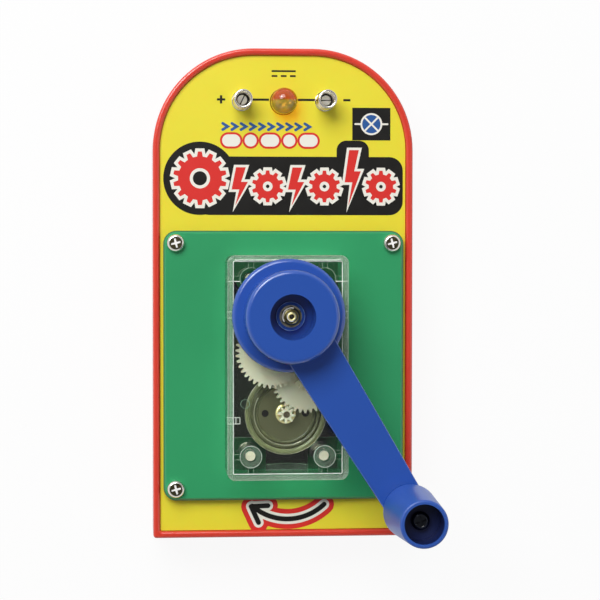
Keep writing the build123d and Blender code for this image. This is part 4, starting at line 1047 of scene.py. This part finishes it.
# ---- crank nut and shaft end, with painted glints and a black disc of painted shade in the hole ----
nutLook = {"centre": (0.0, -6.1), "top": 42.7, "shaftTop": 43.5, "hex": 3.0, "hexDrop": 0.42, "bead": 0.13,
           "crown": ((0.72, -0.5), (0.74, 0.02), (0.86, 0.14), (1.05, 0.14), (1.3, 0.02), (1.52, -0.25),
                     (1.6, -0.75), (1.5, -0.78), (0.72, -0.5)),
           "holeShade": ((0.01, -0.45), (0.74, -0.45), (0.74, -0.4), (0.01, -0.4)),
           "collar": ((1.6, -0.1), (2.45, -0.05), (2.55, 0.02), (1.6, 0.1), (1.6, -0.1)),
           "floor": 39.85, "boss": (3.2, 4.2), "lip": 0.07,
           "arcs": (("nutGlint", 2.55, 42.68, 0.16, 75, 215), ("crownGlint", 1.3, 43.58, 0.13, 120, 290)),
           "screwArc": (1.75, 205, 315, 20), "screwDrop": 0.2, "screwBead": 0.16}


def dressNut(look):
    x, y = centre = look["centre"]
    rides = {"slot": "brass", "body": "crank"}
    crown, holeShade, collar = ([(radius, look[top] + rise) for radius, rise in look[key]] for key, top in (
        ("crown", "shaftTop"), ("holeShade", "shaftTop"), ("collar", "top")))
    turnedPiece("shaftCrown", crown, centre, trims["yellowBrass"], "crank", 48, False)
    turnedPiece("shaftCentre", holeShade, centre, inks["black"], "crank", 24)
    corners = [polar(x, y, look["hex"], math.radians(90 + 60 * i)) for i in range(6)]
    beadPiece("nutEdge", look["bead"], finishes["spring_plate"], True,
              atLevel(corners, look["top"] - look["hexDrop"]), **rides)
    turnedPiece("nutCollar", collar, centre, ownFinishes["crank_nut"], "crank", 48, False)
    # painted light: a lighter blue ring on the boss down in the hub, and a highlight round its edge
    inner, outer = look["boss"]
    flatRing("hubBossFace", centre, inner, outer, look["floor"], trims["litBossBlue"], "crank",
             48)
    beadPiece("hubBossEdge", look["lip"], trims["bossEdgeHighlight"], True,
              atLevel(circleLoop(x, y, outer, 48), look["floor"]), slot="blue_plastic", body="crank")
    for name, radius, level, thick, start, end in look["arcs"]:
        glint = atLevel(arcPath(x, y, radius, start, end, 20), level)
        beadPiece(name, thick, trims["whiteHighlight"], False, glint, **rides)
    low, high = nodeBox("knob_screw")
    beadPiece("knobScrewGlint", look["screwBead"], trims["whiteHighlight"], False,
              atLevel(arcPath(*middleOf(low, high), *look["screwArc"]), high.z - look["screwDrop"]),
              slot="screw_steel", body="crank")


dressNut(nutLook)
print("motor and nut dressed")


# ---- floor, light and camera ----
floorLook = {"size": 1.6, "cells": 8, "drop": 0.2, "tone": (0.86, 0.86, 0.86), "drift": 0.02, "grain": 900.0,
             "flow": 6.0, "gloss": 0.9, "glow": 0.92}
studioLight = {"sky": 0.25, "overheadGloss": 0.13, "horizonGloss": 0.95, "ceiling": (0.35, 0.95)}


def directRay(tree, path):  # seen straight or through something clear
    return calc(tree, "MAXIMUM", path.outputs["Is Camera Ray"], path.outputs["Is Transmission Ray"])


def studioFloor(look):
    mesh = bpy.data.meshes.new("studioFloor")
    shape = bmesh.new()
    bmesh.ops.create_grid(shape, x_segments=look["cells"], y_segments=look["cells"], size=look["size"])
    shape.to_mesh(mesh)
    shape.free()
    material, tree, shader = startMaterial("palePaper")
    skin = useGroup(tree, "mouldSkin", {"Grain": look["grain"], "Flow": look["flow"]})
    tone = useGroup(tree, "toneDrift", {
        "Tone": (*look["tone"], 1), "Mask": skin["Cloud"], "Depth": look["drift"]})
    feed(tree, shader["Base Color"], tone["Color"])
    shader["Roughness"].default_value = look["gloss"]
    glow = addNode(tree, "Emission", {"Color": (1, 1, 1, 1), "Strength": 1.0})
    path = addNode(tree, "LightPath")
    seen = calc(tree, "MAXIMUM", directRay(tree, path), path.outputs["Is Glossy Ray"])
    mixed = addNode(tree, "MixShader", {
        0: calc(tree, "MULTIPLY", seen, look["glow"]), 1: tree.nodes["Principled BSDF"].outputs[0],
        2: glow.outputs[0]})
    tree.links.new(mixed.outputs[0], tree.nodes["Material Output"].inputs["Surface"])
    piece = placePiece("studioFloor", mesh, material)
    piece.location.z = -look["drop"] * mm


def studioWorld(look):
    world = bpy.data.worlds.new("studio")
    bpy.context.scene.world = world
    world.use_nodes = True
    tree = world.node_tree
    path = addNode(tree, "LightPath")
    up = addNode(tree, "SeparateXYZ", {0: addNode(tree, "TexCoord").outputs["Generated"]}).outputs["Z"]
    low, high = look["ceiling"]
    ceiling = addNode(tree, "MapRange", {
        "Value": up, "From Min": low, "From Max": high, "To Min": look["horizonGloss"],
        "To Max": look["overheadGloss"]}).outputs[0]
    level = calc(tree, "MULTIPLY_ADD", directRay(tree, path), 1 - look["sky"], look["sky"])
    glossy = path.outputs["Is Glossy Ray"]
    plain = calc(tree, "MULTIPLY", level, calc(tree, "SUBTRACT", 1.0, glossy))
    background = tree.nodes["Background"].inputs
    feed(tree, background["Strength"], calc(tree, "MULTIPLY_ADD", ceiling, glossy, plain))
    background["Color"].default_value = (1, 1, 1, 1)


lampLooks = {
    "softboxTop": {"at": (-0.34, 0.60, 0.76), "size": (0.8, 0.6), "watts": 10.4},
    "softboxSide": {"at": (0.75, -0.10, 0.80), "size": (0.5, 0.5), "watts": 0.6},
    "glintBox": {"at": (-0.46, 0.62, 0.72), "size": (0.2, 0.2), "watts": 2.6, "tint": (0.75, 0.95, 1.0)},
}


def hangLamp(name, look):
    light = bpy.data.lights.new(name, "AREA")
    light.shape = "RECTANGLE"
    light.size, light.size_y = look["size"]
    light.energy = look["watts"]
    light.color = look.get("tint", (1, 1, 1))
    lamp = bpy.data.objects.new(name, light)
    lamp.location = look["at"]
    lamp.rotation_euler = (-Vector(look["at"])).to_track_quat("-Z", "Y").to_euler()
    lamp.visible_camera = False
    lamp.visible_diffuse = lamp.visible_transmission = "tint" not in look  # tinted: highlights only
    bpy.context.scene.collection.objects.link(lamp)


cameraLook = {"at": (-46.30, 12.36, 523.6), "turn": (-1.612, -4.029, 0.0), "lens": 99.47, "sensor": 36,
              "shift": (0.085, 0.0)}


def placeCamera(look):
    camera = bpy.data.cameras.new("photoCamera")
    camera.lens = look["lens"]
    camera.sensor_width = look["sensor"]
    camera.shift_x, camera.shift_y = look["shift"]
    holder = bpy.data.objects.new("photoCamera", camera)
    holder.location = Vector(look["at"]) * mm
    holder.rotation_euler = Euler([math.radians(a) for a in look["turn"]])
    bpy.context.scene.collection.objects.link(holder)
    bpy.context.scene.camera = holder


studioFloor(floorLook)
studioWorld(studioLight)
for name, look in lampLooks.items():
    hangLamp(name, look)
placeCamera(cameraLook)
bpy.context.scene.view_settings.view_transform = "Standard"
print("studio set")
